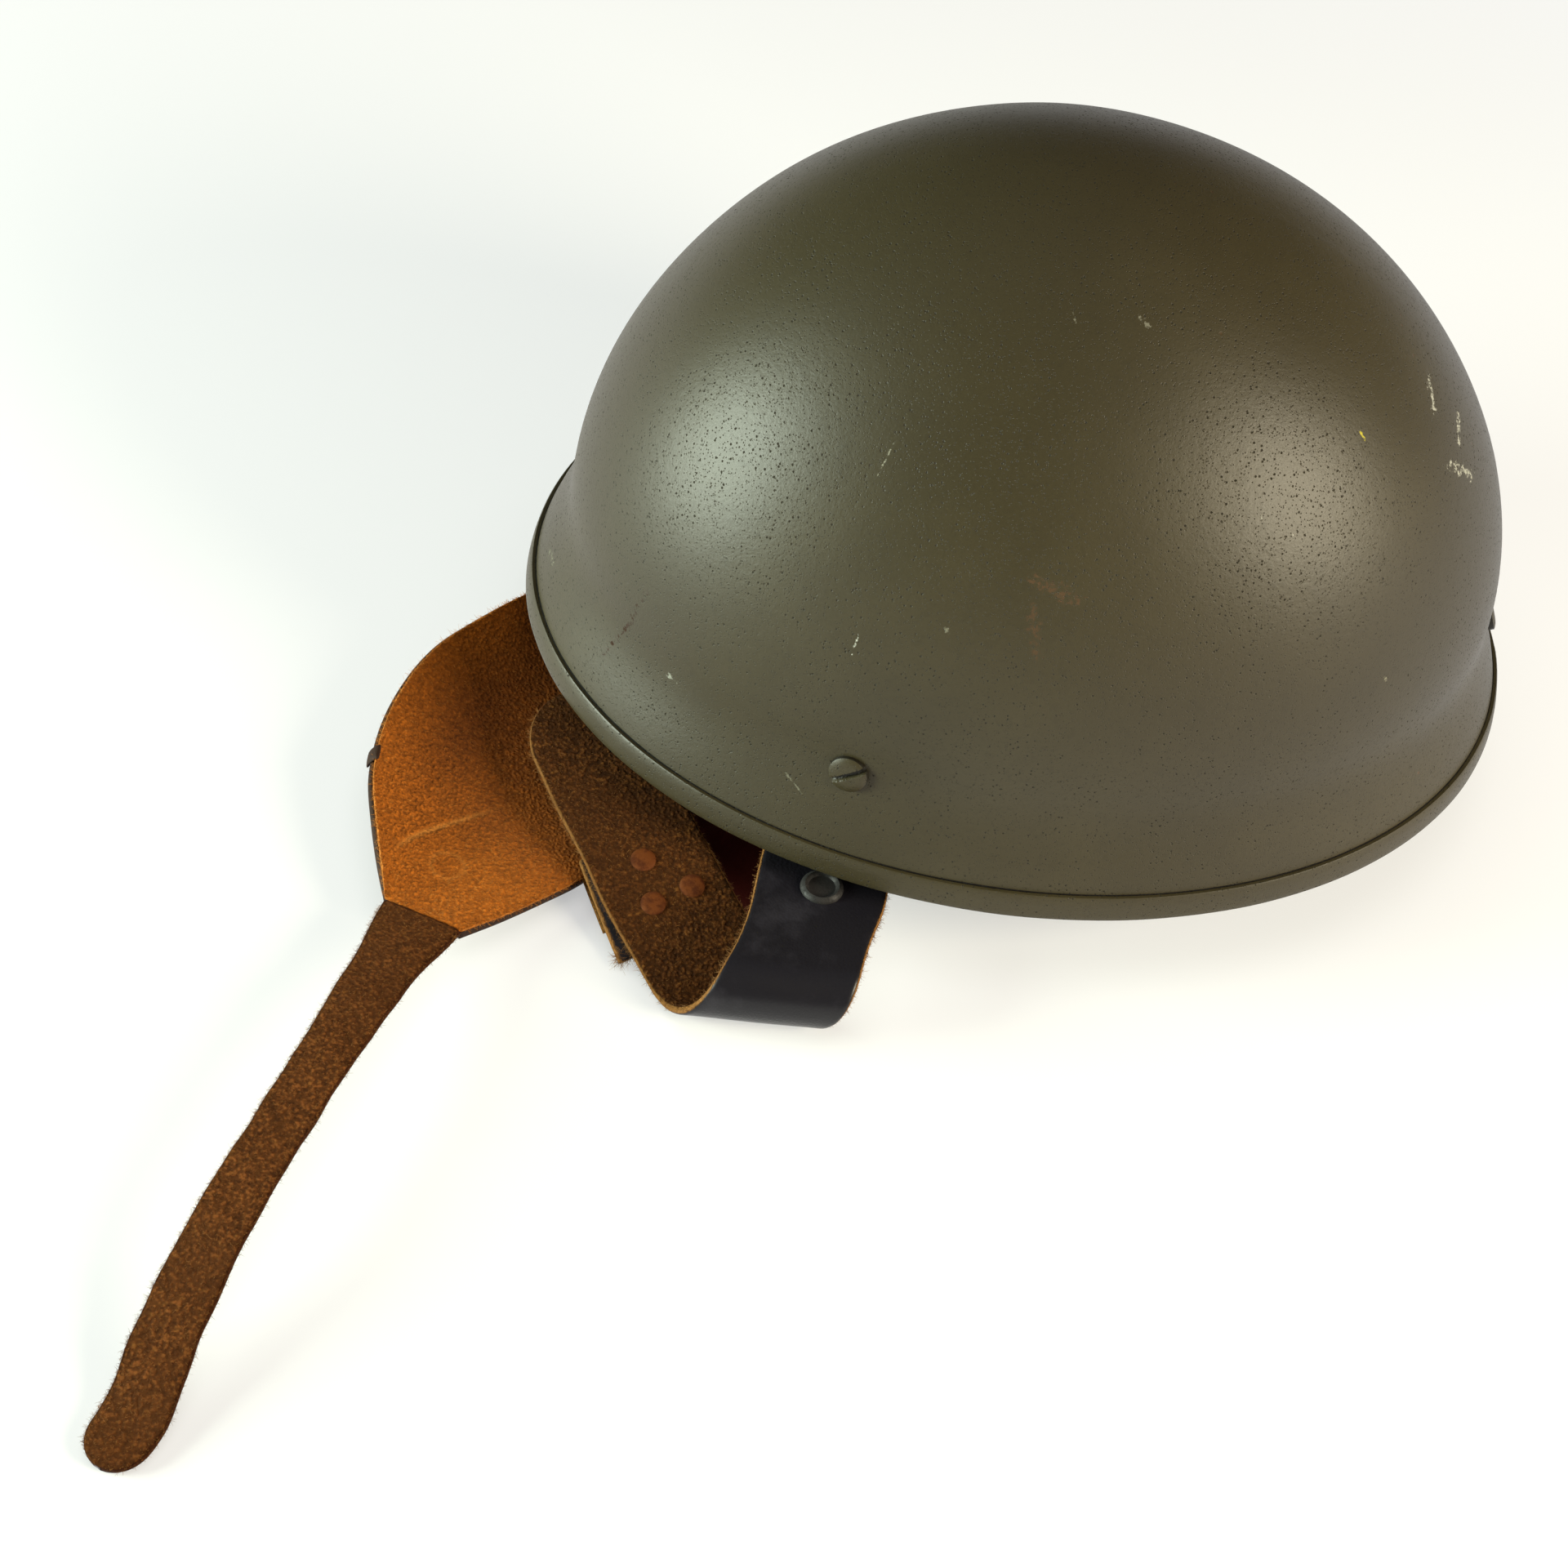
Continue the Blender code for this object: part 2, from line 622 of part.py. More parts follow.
def rivet_profile(stack):
    """A domed head above the stack, a post through it and a flat clenched head below."""
    high, low = GAP, -stack - GAP
    return [
        (0.0, high + RIVET_HEAD_HEIGHT),
        (RIVET_HEAD_RADIUS * RIVET_DOME_SHARE, high + RIVET_HEAD_HEIGHT * RIVET_SHOULDER_SHARE),
        (RIVET_HEAD_RADIUS, high), (RIVET_POST_RADIUS, high), (RIVET_POST_RADIUS, low),
        (RIVET_HEAD_RADIUS, low),
        (RIVET_HEAD_RADIUS * RIVET_SHOULDER_SHARE, low - RIVET_HEAD_HEIGHT + GAP),
        (0.0, low - RIVET_HEAD_HEIGHT + GAP),
    ]


def ear_flap():
    """The flap's profile runs down the liner band, turns outwards and lies flat."""
    fall = RIM_HEIGHT + EAR_FLAP_TOP - EAR_FLAP_FOOT - EAR_FLAP_BEND
    moves = [(fall, 0.0), (EAR_FLAP_BEND * math.pi / 2, math.pi / 2), (EAR_FLAP_RUN, 0.0)]
    lengths, spots, headings = walk(moves, (0.0, RIM_HEIGHT + EAR_FLAP_TOP), -math.pi / 2, EAR_FLAP_STEP)
    out, height = spots[:, :1], spots[:, 1:]
    over = np.clip((out - out[-1] + EAR_FLAP_HALF_WIDTH) / EAR_FLAP_HALF_WIDTH, 0, 1)
    half = EAR_FLAP_HALF_WIDTH * np.maximum(np.sqrt(1 - over ** 2), NIB_SHARE)
    root = EAR_FLAP_X + half * np.linspace(-1, 1, 5)[None, :]
    space = EAR_FLAP_CLEARANCE + EAR_FLAP_THICKNESS / 2
    slant = np.hypot(1.0, LINER_HALF_WIDTH * root / LINER_HALF_LENGTH ** 2)
    oval = LINER_HALF_WIDTH * np.sqrt(1 - (root / LINER_HALF_LENGTH) ** 2)
    x = root - EAR_FLAP_DRIFT_SHARE * out
    y = -(oval + space * slant * EAR_FLAP_SLANT_SHARE + out)
    grid = np.stack(np.broadcast_arrays(x, y, height), -1)
    sheet("ear_flap", grid, EAR_FLAP_THICKNESS, MATERIALS["maroon"])


def liner_pads():
    """Rubber blocks, each shaped to the liner band inside and to the shell outside."""
    inward = -(SHELL_WALL + PAD_CLEARANCE)
    heights = np.linspace(PAD_FOOT, PAD_TOP, 4)
    for number, middle in enumerate(PAD_ANGLES, 1):
        angles = np.linspace(middle - PAD_HALF_SWEEP, middle + PAD_HALF_SWEEP, 6)[:, None]
        outer = shell_offset(angles, heights[None, :], np.full((6, 4), inward))
        inner = liner_point(angles, RIM_HEIGHT + heights[None, ::3][:, ::-1], PAD_SEAT)
        sections = np.concatenate([outer, inner], 1)
        loft(f"liner_pad_{number}", sections, MATERIALS["rubber"], False)


def crown_pad():
    """A rubber pad whose top follows the crown and whose underside is flat."""
    rings = np.array(CROWN_PAD_RING_SHARES) * CROWN_PAD_RADIUS
    climb = (1 - (rings / DOME_HALF_LENGTH) ** 2) ** (1 / DOME_POWER)
    heights = DOME_START + climb * (SHELL_HEIGHT - DOME_START)
    angles = np.linspace(0, 2 * math.pi, 28, endpoint=False)
    inward = -np.full((len(heights), len(angles)), SHELL_WALL + CROWN_PAD_CLEARANCE)
    rings = shell_offset(angles[None, :], heights[:, None], inward)
    floor = rings[0].copy()
    floor[:, 2] = RIM_HEIGHT + CROWN_PAD_FACE
    grid = np.vstack([floor[None], rings])
    count = len(angles)
    faces = grid_faces(len(grid), count, False, True)
    faces.append(tuple(range(count))[::-1])
    faces.append(tuple(range((len(grid) - 1) * count, len(grid) * count)))
    pad = new_object("crown_pad", grid, faces, MATERIALS["rubber"])
    outward_faces(pad)
    shade_smooth(pad)


def crown_strap(name, reach, turn, drop):
    """A webbing strap that rises from one side of the liner band, over the head and down again."""
    q = np.linspace(-math.pi / 2, math.pi / 2, 25)
    foot = RIM_HEIGHT + CROWN_STRAP_FOOT
    across = np.sign(np.sin(q)) * np.abs(np.sin(q)) ** CROWN_STRAP_CURVE * reach
    height = foot + (CROWN_STRAP_RISE - drop) * np.cos(q) ** CROWN_STRAP_CURVE
    side = np.linspace(-0.5, 0.5, 3) * CROWN_STRAP_WIDTH
    along, height, side = np.broadcast_arrays(across[:, None], height[:, None], side[None, :])
    x = along * math.cos(turn) - side * math.sin(turn)
    y = along * math.sin(turn) + side * math.cos(turn)
    return sheet(name, np.stack([x, y, height], -1), CROWN_STRAP_THICKNESS, MATERIALS["webbing"])


def crown_straps():
    """The long strap lies over the short one where they cross."""
    sag = 1 - math.sqrt(1 - (CROWN_STRAP_WIDTH / 2 / LINER_HALF_WIDTH) ** 2)
    inset = LINER_WALL + CROWN_STRAP_THICKNESS / 2 + CROWN_STRAP_SEAT
    long_reach = LINER_HALF_LENGTH * (1 - sag * LINER_HALF_LENGTH / LINER_HALF_WIDTH) - inset
    short_reach = LINER_HALF_WIDTH * (1 - sag) - inset
    crown_strap("crown_strap_long", long_reach, 0.0, 0.0)
    crown_strap("crown_strap_short", short_reach, math.pi / 2, CROWN_STRAP_THICKNESS + CROWN_STRAP_CLEARANCE)


# Left temple strap

def walk(moves, start, heading, step=PROFILE_STEP):
    """Follows moves of (length, turn) in a plane, and gives distance, place and heading all along."""
    lengths, places, headings = [0.0], [np.array(start, float)], [heading]
    for length, turn in moves:
        count = max(2, int(round(length / step)))
        for _ in range(count):
            middle = headings[-1] + turn / count / 2
            move = length / count * np.array([math.cos(middle), math.sin(middle)])
            places.append(places[-1] + move)
            headings.append(headings[-1] + turn / count)
            lengths.append(lengths[-1] + length / count)
    return np.array(lengths), np.array(places), np.array(headings)


def left_strap_profile():
    """The strap seen from its edge: outward distance from the rim and height, along its length."""
    top = RIM_HEIGHT - RIM_BEND_RADIUS
    curl_radius = (top - CURL_FOOT) / 2
    bend = math.pi / 2 + SWERVE_ANGLE
    fall = SWERVE_LENGTH * math.sin(SWERVE_ANGLE) / SWERVE_ANGLE + SLOPE_LENGTH * math.cos(SWERVE_ANGLE)
    fall += RIM_BEND_RADIUS * (1 + math.sin(SWERVE_ANGLE))
    upper = [
        (STRAP_TOP_HEIGHT + RIM_HEIGHT - top - fall, 0.0),
        (SWERVE_LENGTH, -SWERVE_ANGLE),
        (SLOPE_LENGTH, 0.0),
        (RIM_BEND_RADIUS * bend, bend),
    ]
    curl = curl_radius * (math.pi + CURL_OVERTURN)
    lower = [
        (STRAP_REACH, 0.0),
        (curl, -(math.pi + CURL_OVERTURN)),
        (STRAP_OUTSIDE_LENGTH + STRAP_RUN_OUT - STRAP_REACH - curl, RETURN_FLATTEN),
    ]
    start = (-wall_depth() * WALL_TILT_SHARE, RIM_HEIGHT + STRAP_TOP_HEIGHT)
    lengths, places, headings = walk(upper + lower, start, -math.pi / 2)
    return lengths - sum(length for length, turn in upper), places, headings


def strap_exit():
    """How far to the brow the strap's middle leaves the rim: just past its screw."""
    screw = shell_surface(oval_angle(-TEMPLE_ANGLE), TEMPLE_SCREW_HEIGHT)
    return STRAP_EXIT_SHIFT - screw[0]


def left_strap_surface(x, distance, lift):
    """A point of the left strap from its x, its distance past the rim and its lift to the suede side."""
    lengths, places, headings = LEFT_PROFILE
    out = np.interp(distance, lengths, places[:, 0])
    height = np.interp(distance, lengths, places[:, 1])
    heading = np.interp(distance, lengths, headings)
    out = out + lift * np.sin(heading)
    height = height - lift * np.cos(heading)
    ratio = BRIM_HALF_WIDTH / BRIM_HALF_LENGTH
    rim_at_x = ratio * np.sqrt(np.maximum(BRIM_HALF_LENGTH ** 2 - x ** 2, STRAP_WIDTH ** 2))
    rim_at_exit = ratio * math.sqrt(BRIM_HALF_LENGTH ** 2 - STRAP_EXIT_X ** 2)
    above = np.clip(height - RIM_HEIGHT, 0.0, None)
    shrink = shell_radius(above) / BRIM_HALF_LENGTH
    lean = CROWN_LEAN * (1 - shrink)
    wall = ratio * np.sqrt(np.maximum((BRIM_HALF_LENGTH * shrink) ** 2 - (x + lean) ** 2, STRAP_WIDTH ** 2))
    follow = 1 - smooth_step(distance / FOLLOW_RIM_LENGTH)
    slant = np.hypot(1.0, ratio ** 2 * x / rim_at_x)
    y = follow * (np.where(above > 0, wall, rim_at_x) + out * slant) + (1 - follow) * (rim_at_exit + out)
    return np.stack(np.broadcast_arrays(x, -y, height), -1)


def left_centre(distance):
    """The strap's middle line, which drifts to the brow."""
    return -STRAP_EXIT_X - STRAP_DRIFT * through(LEFT_DRIFT_SHARES, distance / STRAP_OUTSIDE_LENGTH)[:, 0]


def left_patch(start, end, rows, columns, lift, width, rounded=False):
    """A grid on the left strap's surface, from start to end past the rim."""
    middle = np.linspace(start, end, rows)
    if rounded:
        flat = end - width / 2
        middle = np.concatenate([
            np.linspace(start, flat, rows - 6),
            flat + width / 2 * np.sin(np.linspace(0, math.pi / 2, 7)[1:]),
        ])
    slope = (left_centre(middle + NUDGE) - left_centre(middle - NUDGE)) / (2 * NUDGE)
    length = np.hypot(slope, 1.0)
    half = np.full(len(middle), width / 2)
    if rounded:
        over = np.clip((middle - flat) / (width / 2), 0, 1)
        half = half * np.maximum(np.sqrt(1 - over ** 2), NIB_SHARE)
    across = np.linspace(-1, 1, columns)
    x = left_centre(middle)[:, None] + across[None, :] * (half / length)[:, None]
    distance = middle[:, None] - across[None, :] * (half * slope / length)[:, None]
    return left_strap_surface(x, distance, lift)


def left_frame(distance, share, lift):
    """Placement on the strap: X across it and Z out of its suede side."""
    x = left_centre(np.array([distance]))[0] + share * STRAP_WIDTH
    point = left_strap_surface(np.array(x), np.array(distance), lift)
    ahead = left_strap_surface(np.array(left_centre(np.array([distance + NUDGE]))[0] + share * STRAP_WIDTH),
                               np.array(distance + NUDGE), lift)
    beside = left_strap_surface(np.array(x + NUDGE), np.array(distance), lift)
    forward, side = unit(ahead - point), unit(beside - point)
    normal = unit(np.cross(side, forward))
    across = unit(np.cross(forward, normal))
    return point, forward, across, normal


def left_strap(places):
    grid = left_patch(LEFT_PROFILE[0][0] + GAP, STRAP_OUTSIDE_LENGTH, 64, 7, 0.0, STRAP_WIDTH, True)
    strap = sheet("left_temple_strap", grid, STRAP_THICKNESS, MATERIALS["suede"])
    hole = hole_cutter("left_strap_screw_hole", places["left"], SHANK_RADIUS + GAP, clamp_depths()["nut"])
    cut(strap, hole)
    return strap


def buckle_tab(strap):
    """A strip riveted under the strap's returned end and folded round the buckle's wire."""
    fold = WIRE_RADIUS + GAP + TAB_THICKNESS / 2
    top = STRAP_THICKNESS / 2 + GAP + TAB_THICKNESS / 2
    start, bar = TAB_START, TAB_BAR
    moves = [(bar - start, 0.0), (fold * math.pi, -math.pi), (TAB_FOLD_LENGTH, 0.0)]
    lengths, spots, headings = walk(moves, (start, -top), 0.0, step=TAB_STEP)
    loop = (spots[:, 0] > bar - OVERRUN)
    keep = np.concatenate([np.flatnonzero(~loop)[::4], np.flatnonzero(loop)])
    keep = np.unique(np.append(keep, len(spots) - 1))
    spots = spots[keep]
    taper = (spots[:, 0] - bar + TAB_FOLD_LENGTH) / TAB_FOLD_LENGTH * TAB_TAPER_SHARE
    width = STRAP_WIDTH + (LOOP_WIDTH - STRAP_WIDTH) * smooth_step(taper)
    centre = left_centre(spots[:, 0])
    slope = (left_centre(spots[:, 0] + NUDGE) - left_centre(spots[:, 0] - NUDGE)) / (2 * NUDGE)
    length = np.hypot(slope, 1.0)
    across = np.linspace(-0.5, 0.5, 5)
    x = centre[:, None] + across[None, :] * (width / length)[:, None]
    distance = spots[:, :1] - across[None, :] * (width * slope / length)[:, None]
    grid = left_strap_surface(x, distance, np.broadcast_to(spots[:, 1:], x.shape))
    tab = sheet("buckle_tab", grid, TAB_THICKNESS, MATERIALS["suede"])
    for number, (share, side) in enumerate(RIVET_PLACE_SHARES, 1):
        distance = start + share * TAB_LENGTH
        point, forward, across_strap, normal = left_frame(distance, side, STRAP_THICKNESS / 2)
        matrix = frame_matrix(point, across_strap, normal)
        name = f"buckle_rivet_{number}"
        depth = STRAP_THICKNESS + GAP + TAB_THICKNESS
        hole = hole_cutter(name + "_hole", matrix, RIVET_POST_RADIUS + GAP, depth + OVERRUN / 2)
        cut(strap, hole)
        cut(tab, hole)
        place(turned(name, rivet_profile(depth), MATERIALS["copper"], 14), matrix)
    return fold + top


def rounded_loop(width, length, corner, steps=4):
    """Corner points of a rectangle with round corners, from its middle of the near side."""
    points = []
    middles = [(width / 2 - corner, corner), (width / 2 - corner, length - corner),
               (corner - width / 2, length - corner), (corner - width / 2, corner)]
    for i, (x, y) in enumerate(middles):
        for k in range(steps + 1):
            angle = math.radians(-90 + 90 * i) + math.radians(90) * k / steps
            points.append((x + corner * math.cos(angle), y + corner * math.sin(angle)))
    return points


def wire_ring(name, points, radius, material, matrix):
    """A closed wire along points in its own XY plane."""
    curve = bpy.data.curves.new(name, "CURVE")
    curve.dimensions = "3D"
    curve.bevel_depth = radius
    curve.bevel_resolution = 2
    spline = curve.splines.new("POLY")
    spline.points.add(len(points) - 1)
    for point, (x, y) in zip(spline.points, points):
        point.co = (x, y, 0.0, 1.0)
    spline.use_cyclic_u = True
    obj = bpy.data.objects.new(name, curve)
    curve.materials.append(material)
    collection(PARTS).objects.link(obj)
    obj.matrix_world = matrix
    return obj


def buckle(depth):
    """A wire frame in the tab's fold, and a bar that slides along it and grips the chin strap."""
    point, forward, across, normal = left_frame(TAB_BAR, 0.0, -depth)
    matrix = frame_matrix(point, across, normal)
    inner = rounded_loop(FRAME_WIDTH, FRAME_LENGTH, FRAME_CORNER)
    facing = 1 if matrix.to_3x3() @ Vector((0, 1, 0)) @ Vector(forward) > 0 else -1
    points = [(x, facing * y) for x, y in inner]
    axis = bpy.data.objects.new("buckle_axis", None)
    collection(PARTS).objects.link(axis)
    axis.matrix_world = matrix
    frame = wire_ring("buckle_frame", points, WIRE_RADIUS, MATERIALS["steel"], matrix)
    attach(frame, axis)
    middle = facing * FRAME_LENGTH * GRIP_BAR_SHARE
    bar = grip_bar(matrix @ Matrix.Translation((0.0, middle, 0.0)))
    attach(bar, axis)


def grip_bar(matrix):
    """A bar that the frame's two side wires run through, near its ends."""
    bore = WIRE_RADIUS + GAP
    height = 2 * (bore + GRIP_BAR_WALL)
    bar = block("grip_bar", (FRAME_WIDTH + height, GRIP_BAR_WIDTH, height), matrix, MATERIALS["steel"])
    lying = Matrix.Rotation(math.pi / 2, 4, "X")
    for name, side in (("grip_bore_left", -FRAME_WIDTH / 2), ("grip_bore_right", FRAME_WIDTH / 2)):
        wire = matrix @ Matrix.Translation((side, 0.0, 0.0)) @ lying
        cut(bar, hole_cutter(name, wire, bore, GRIP_BAR_WIDTH / 2 + OVERRUN))
    return bar


def press_stud(name, matrix, height, post):
    """A raised ring round a dished cap, on a post that goes in through the leather."""
    ring = (STUD_RING_RADIUS + STUD_CUP_RADIUS) / 2
    profile = [
        (0.0, GAP + height - STUD_CUP_DEPTH), (STUD_CUP_RADIUS, GAP + height - STUD_CUP_DEPTH),
        (ring, GAP + height), (STUD_RING_RADIUS, GAP + height / 2), (STUD_RING_RADIUS, GAP),
        (RIVET_POST_RADIUS, GAP), (RIVET_POST_RADIUS, -post), (0.0, -post),
    ]
    return place(turned(name, profile, MATERIALS["black_metal"]), matrix)


def strap_stud(strap):
    """The press stud's cap on the grain side, clenched by a flat back on the suede side."""
    point, forward, across, normal = left_frame(STUD_DISTANCE, 0.0, -STRAP_THICKNESS / 2)
    matrix = frame_matrix(point, across, -normal)
    post = STRAP_THICKNESS + 2 * GAP + STUD_BACK_HEIGHT
    stud = press_stud("strap_stud", matrix, STUD_RING_HEIGHT, post)
    low = -STRAP_THICKNESS - GAP
    profile = ring_profile(RIVET_POST_RADIUS + GAP, STUD_CUP_RADIUS, low, low - STUD_BACK_HEIGHT)
    place(turned("strap_stud_back", profile, MATERIALS["steel"], 20), matrix)
    cut(strap, hole_cutter("strap_stud_hole", matrix, RIVET_POST_RADIUS + GAP, STRAP_THICKNESS + OVERRUN / 2))
    return stud


# Chin cup and chin strap

def cup_axes():
    along = np.array([math.cos(CUP_HEADING), math.sin(CUP_HEADING), 0.0])
    side = np.array([along[1], -along[0], 0.0])
    return np.array([CUP_SEAM_X, CUP_SEAM_Y, 0.0]), along, side


def cup_surface(share, across):
    """The cup's middle surface: share runs from the seam to the strap, across from -1 to 1."""
    seam, along, side = cup_axes()
    share, across = np.broadcast_arrays(np.asarray(share, float), np.asarray(across, float))
    flat = share.ravel()
    left = through(CUP_LEFT_SHARES, flat)[:, 0].reshape(share.shape)
    right = through(CUP_RIGHT_SHARES, flat)[:, 0].reshape(share.shape)
    heights = through(CUP_HEIGHT_SHARES, flat).reshape(share.shape + (3,))
    reach = CUP_HALF_WIDTH * across * np.where(across < 0, left, right)
    edge = np.where(across < 0, heights[..., 0], heights[..., 2])
    lift = heights[..., 1] + (edge - heights[..., 1]) * across ** 2
    point = seam + along * (CUP_LENGTH * share)[..., None] + side * reach[..., None]
    point[..., 2] = CUP_THICKNESS / 2 + CUP_RIM_HEIGHT * lift
    return point


def cup_pieces(axis):
    share = smooth_table(22)
    across = np.linspace(-1, 1, 11)
    grid = cup_surface(share[:, None], across[None, :])
    leather = sheet("chin_cup", grid, CUP_THICKNESS, MATERIALS["black_leather"])
    attach(leather, axis)
    narrow = 1 - LINING_INSET / CUP_HALF_WIDTH
    lining = cup_surface(share[:, None], across[None, :] * narrow)
    normal = unit(np.cross(np.gradient(lining, axis=0), np.gradient(lining, axis=1)))
    normal = normal * np.sign(normal[..., 2:])
    lining = lining + normal * (CUP_THICKNESS / 2 + GAP + LINING_THICKNESS / 2)
    attach(sheet("chin_cup_lining", lining, LINING_THICKNESS, MATERIALS["lining"]), axis)
    place_share, place_across = CUP_STUD_SHARES
    point = cup_surface(np.array(place_share), np.array(place_across))
    ahead = cup_surface(np.array(place_share + NUDGE), np.array(place_across))
    beside = cup_surface(np.array(place_share), np.array(place_across + NUDGE))
    down = np.cross(unit(ahead - point), unit(beside - point))
    down = unit(down * -np.sign(down[2]))
    matrix = frame_matrix(point + down * CUP_THICKNESS / 2, unit(beside - point), down)
    cut(leather, hole_cutter("cup_stud_hole", matrix, RIVET_POST_RADIUS + GAP, CUP_THICKNESS + GAP / 2))
    attach(press_stud("cup_stud", matrix, CUP_STUD_HEIGHT, CUP_THICKNESS - GAP), axis)


def smooth_table(count):
    """Shares from 0 to 1, closer together near the seam where the cup widens fast."""
    u = np.linspace(0, 1, count)
    return (1 - CUP_CROWDING_SHARE) * u + CUP_CROWDING_SHARE * u * u


def chin_strap_path(share):
    """The strap's middle line from the seam to its tip."""
    x, z = through(CHIN_STRAP_SHARES, share).T
    return np.stack([CUP_SEAM_X - CHIN_STRAP_REACH_X * x, CUP_SEAM_Y - CHIN_STRAP_REACH_Y * share,
                     CHIN_STRAP_ARCH * z], -1)


def ribbon(name, path, side, half, thickness, material, columns=3):
    across = np.linspace(-1, 1, columns)
    grid = path[:, None, :] + side[:, None, :] * (half[:, None] * across[None, :])[..., None]
    return sheet(name, grid, thickness, material)


def chin_strap(axis):
    share = np.concatenate([np.linspace(0, CHIN_STRAP_LEVEL_SHARE, 26), CHIN_STRAP_TIP_SHARES])
    start = SEAM_GAP / CHIN_STRAP_REACH_Y
    share = start + (1 - start) * share
    path = chin_strap_path(share)
    forward = unit(chin_strap_path(share + NUDGE) - chin_strap_path(share - NUDGE))
    forward[0] = forward[1]
    forward[-1] = forward[-2]
    level = unit(np.stack([forward[:, 1], -forward[:, 0], 0 * forward[:, 0]], -1))
    seam_side = cup_axes()[2]
    ease = smooth_step(share / CHIN_STRAP_FLARE_SHARES[2][0])[:, None]
    side = unit(-seam_side * (1 - ease) + level * ease)
    half = CHIN_STRAP_WIDTH / 2 * through(CHIN_STRAP_FLARE_SHARES, share)[:, 0]
    left = (1 - share) * CHIN_STRAP_REACH_Y * CHIN_STRAP_RUN_SHARE
    over = np.clip(1 - left / (CHIN_STRAP_WIDTH / 2), 0, 1)
    half = half * np.maximum(np.sqrt(1 - over ** 2), NIB_SHARE)
    attach(ribbon("chin_strap", path, side, half, STRAP_THICKNESS, MATERIALS["suede"]), axis)


def edge_clip(axis):
    """A small clip that grips the front edge of the cup's leather."""
    edge = cup_surface(np.array(CLIP_SHARE), np.array(-1.0))
    inner = cup_surface(np.array(CLIP_SHARE), np.array(-1.0 + NUDGE))
    ahead = cup_surface(np.array(CLIP_SHARE + NUDGE), np.array(-1.0))
    inward, along = unit(inner - edge), unit(ahead - edge)
    normal = unit(np.cross(inward, along))
    middle = frame_matrix(edge + normal * (GAP + LINING_THICKNESS) / 2, inward, normal)
    gripped = CUP_THICKNESS + GAP + LINING_THICKNESS + 2 * CLIP_CLEARANCE
    size = (CLIP_DEPTH, CLIP_LENGTH, gripped + 2 * CLIP_WALL)
    mouth = (CLIP_BITE + CLIP_CLEARANCE + OVERRUN, CLIP_LENGTH + OVERRUN, gripped)
    block_shift = Matrix.Translation((CLIP_BITE - CLIP_DEPTH / 2, 0.0, 0.0))
    mouth_shift = Matrix.Translation((mouth[0] / 2 - CLIP_CLEARANCE, 0.0, 0.0))
    clip = block("cup_edge_clip", size, middle @ block_shift, MATERIALS["black_metal"])
    cut(clip, as_cutter(block("clip_mouth", mouth, middle @ mouth_shift, MATERIALS["black_metal"])))
    attach(clip, axis)


# Right temple strap

def right_strap(places):
    """Follows the shell's wall down to the rim, then curves in to the chin cup's inner end."""
    seam, along, side = cup_axes()
    end = cup_surface(np.array(1.0), np.array(0.0))
    heights = np.linspace(RIGHT_TOP_LENGTH, RIGHT_FOOT_LENGTH, 8)
    angle = oval_angle(TEMPLE_ANGLE)
    depth = wall_depth() + RIGHT_RIM_INSET * smooth_step(1 - heights / TEMPLE_SCREW_HEIGHT)
    wall = shell_offset(np.full(8, angle), heights, -depth)
    rim = shell_offset(np.array(angle), np.array(0.0), -depth[-1])
    bends = end + (rim - end) * np.array(RIGHT_STRAP_SHARES)
    knots = np.vstack([wall, bends, [end + along * RIGHT_STRAP_LEAD], [end + along * SEAM_GAP]])
    lengths = np.concatenate([[0], np.cumsum(np.linalg.norm(np.diff(knots, axis=0), axis=1))])
    spots = np.linspace(0, lengths[-1], 34)
    path = through(np.column_stack([lengths, knots]), spots)
    tangent = shell_frame(np.array(angle), np.array(0.0))[1]
    ease = smooth_step((spots - RIGHT_TOP_LENGTH) / (lengths[-1] - RIGHT_TOP_LENGTH))[:, None]
    across = unit(-tangent * (1 - ease) + side * ease)
    forward = unit(np.gradient(path, axis=0))
    across = unit(across - forward * (across * forward).sum(-1, keepdims=True))
    end_half = CUP_HALF_WIDTH * CUP_RIGHT_SHARES[-1][1]
    half = STRAP_WIDTH / 2 + (end_half - STRAP_WIDTH / 2) * ease[:, 0]
    leather = MATERIALS["black_leather"]
    strap = ribbon("right_temple_strap", path, across, half, STRAP_THICKNESS, leather)
    hole = hole_cutter("right_strap_screw_hole", places["right"], SHANK_RADIUS + GAP, clamp_depths()["nut"])
    cut(strap, hole)


def wall_depth():
    """How far in from the shell's outer face the harness leather's middle lies."""
    return clamp_depths()["leather"] + STRAP_THICKNESS / 2


def attach(obj, parent):
    bpy.context.view_layer.update()
    obj.parent = parent
    obj.matrix_parent_inverse = parent.matrix_world.inverted()


def axis_empty(name, point, direction):
    """An empty whose X lies along a joint's axis."""
    empty = bpy.data.objects.new(name, None)
    collection(PARTS).objects.link(empty)
    empty.matrix_world = frame_matrix(point, direction, (0.0, 0.0, 1.0))
    bpy.context.view_layer.update()
    return empty


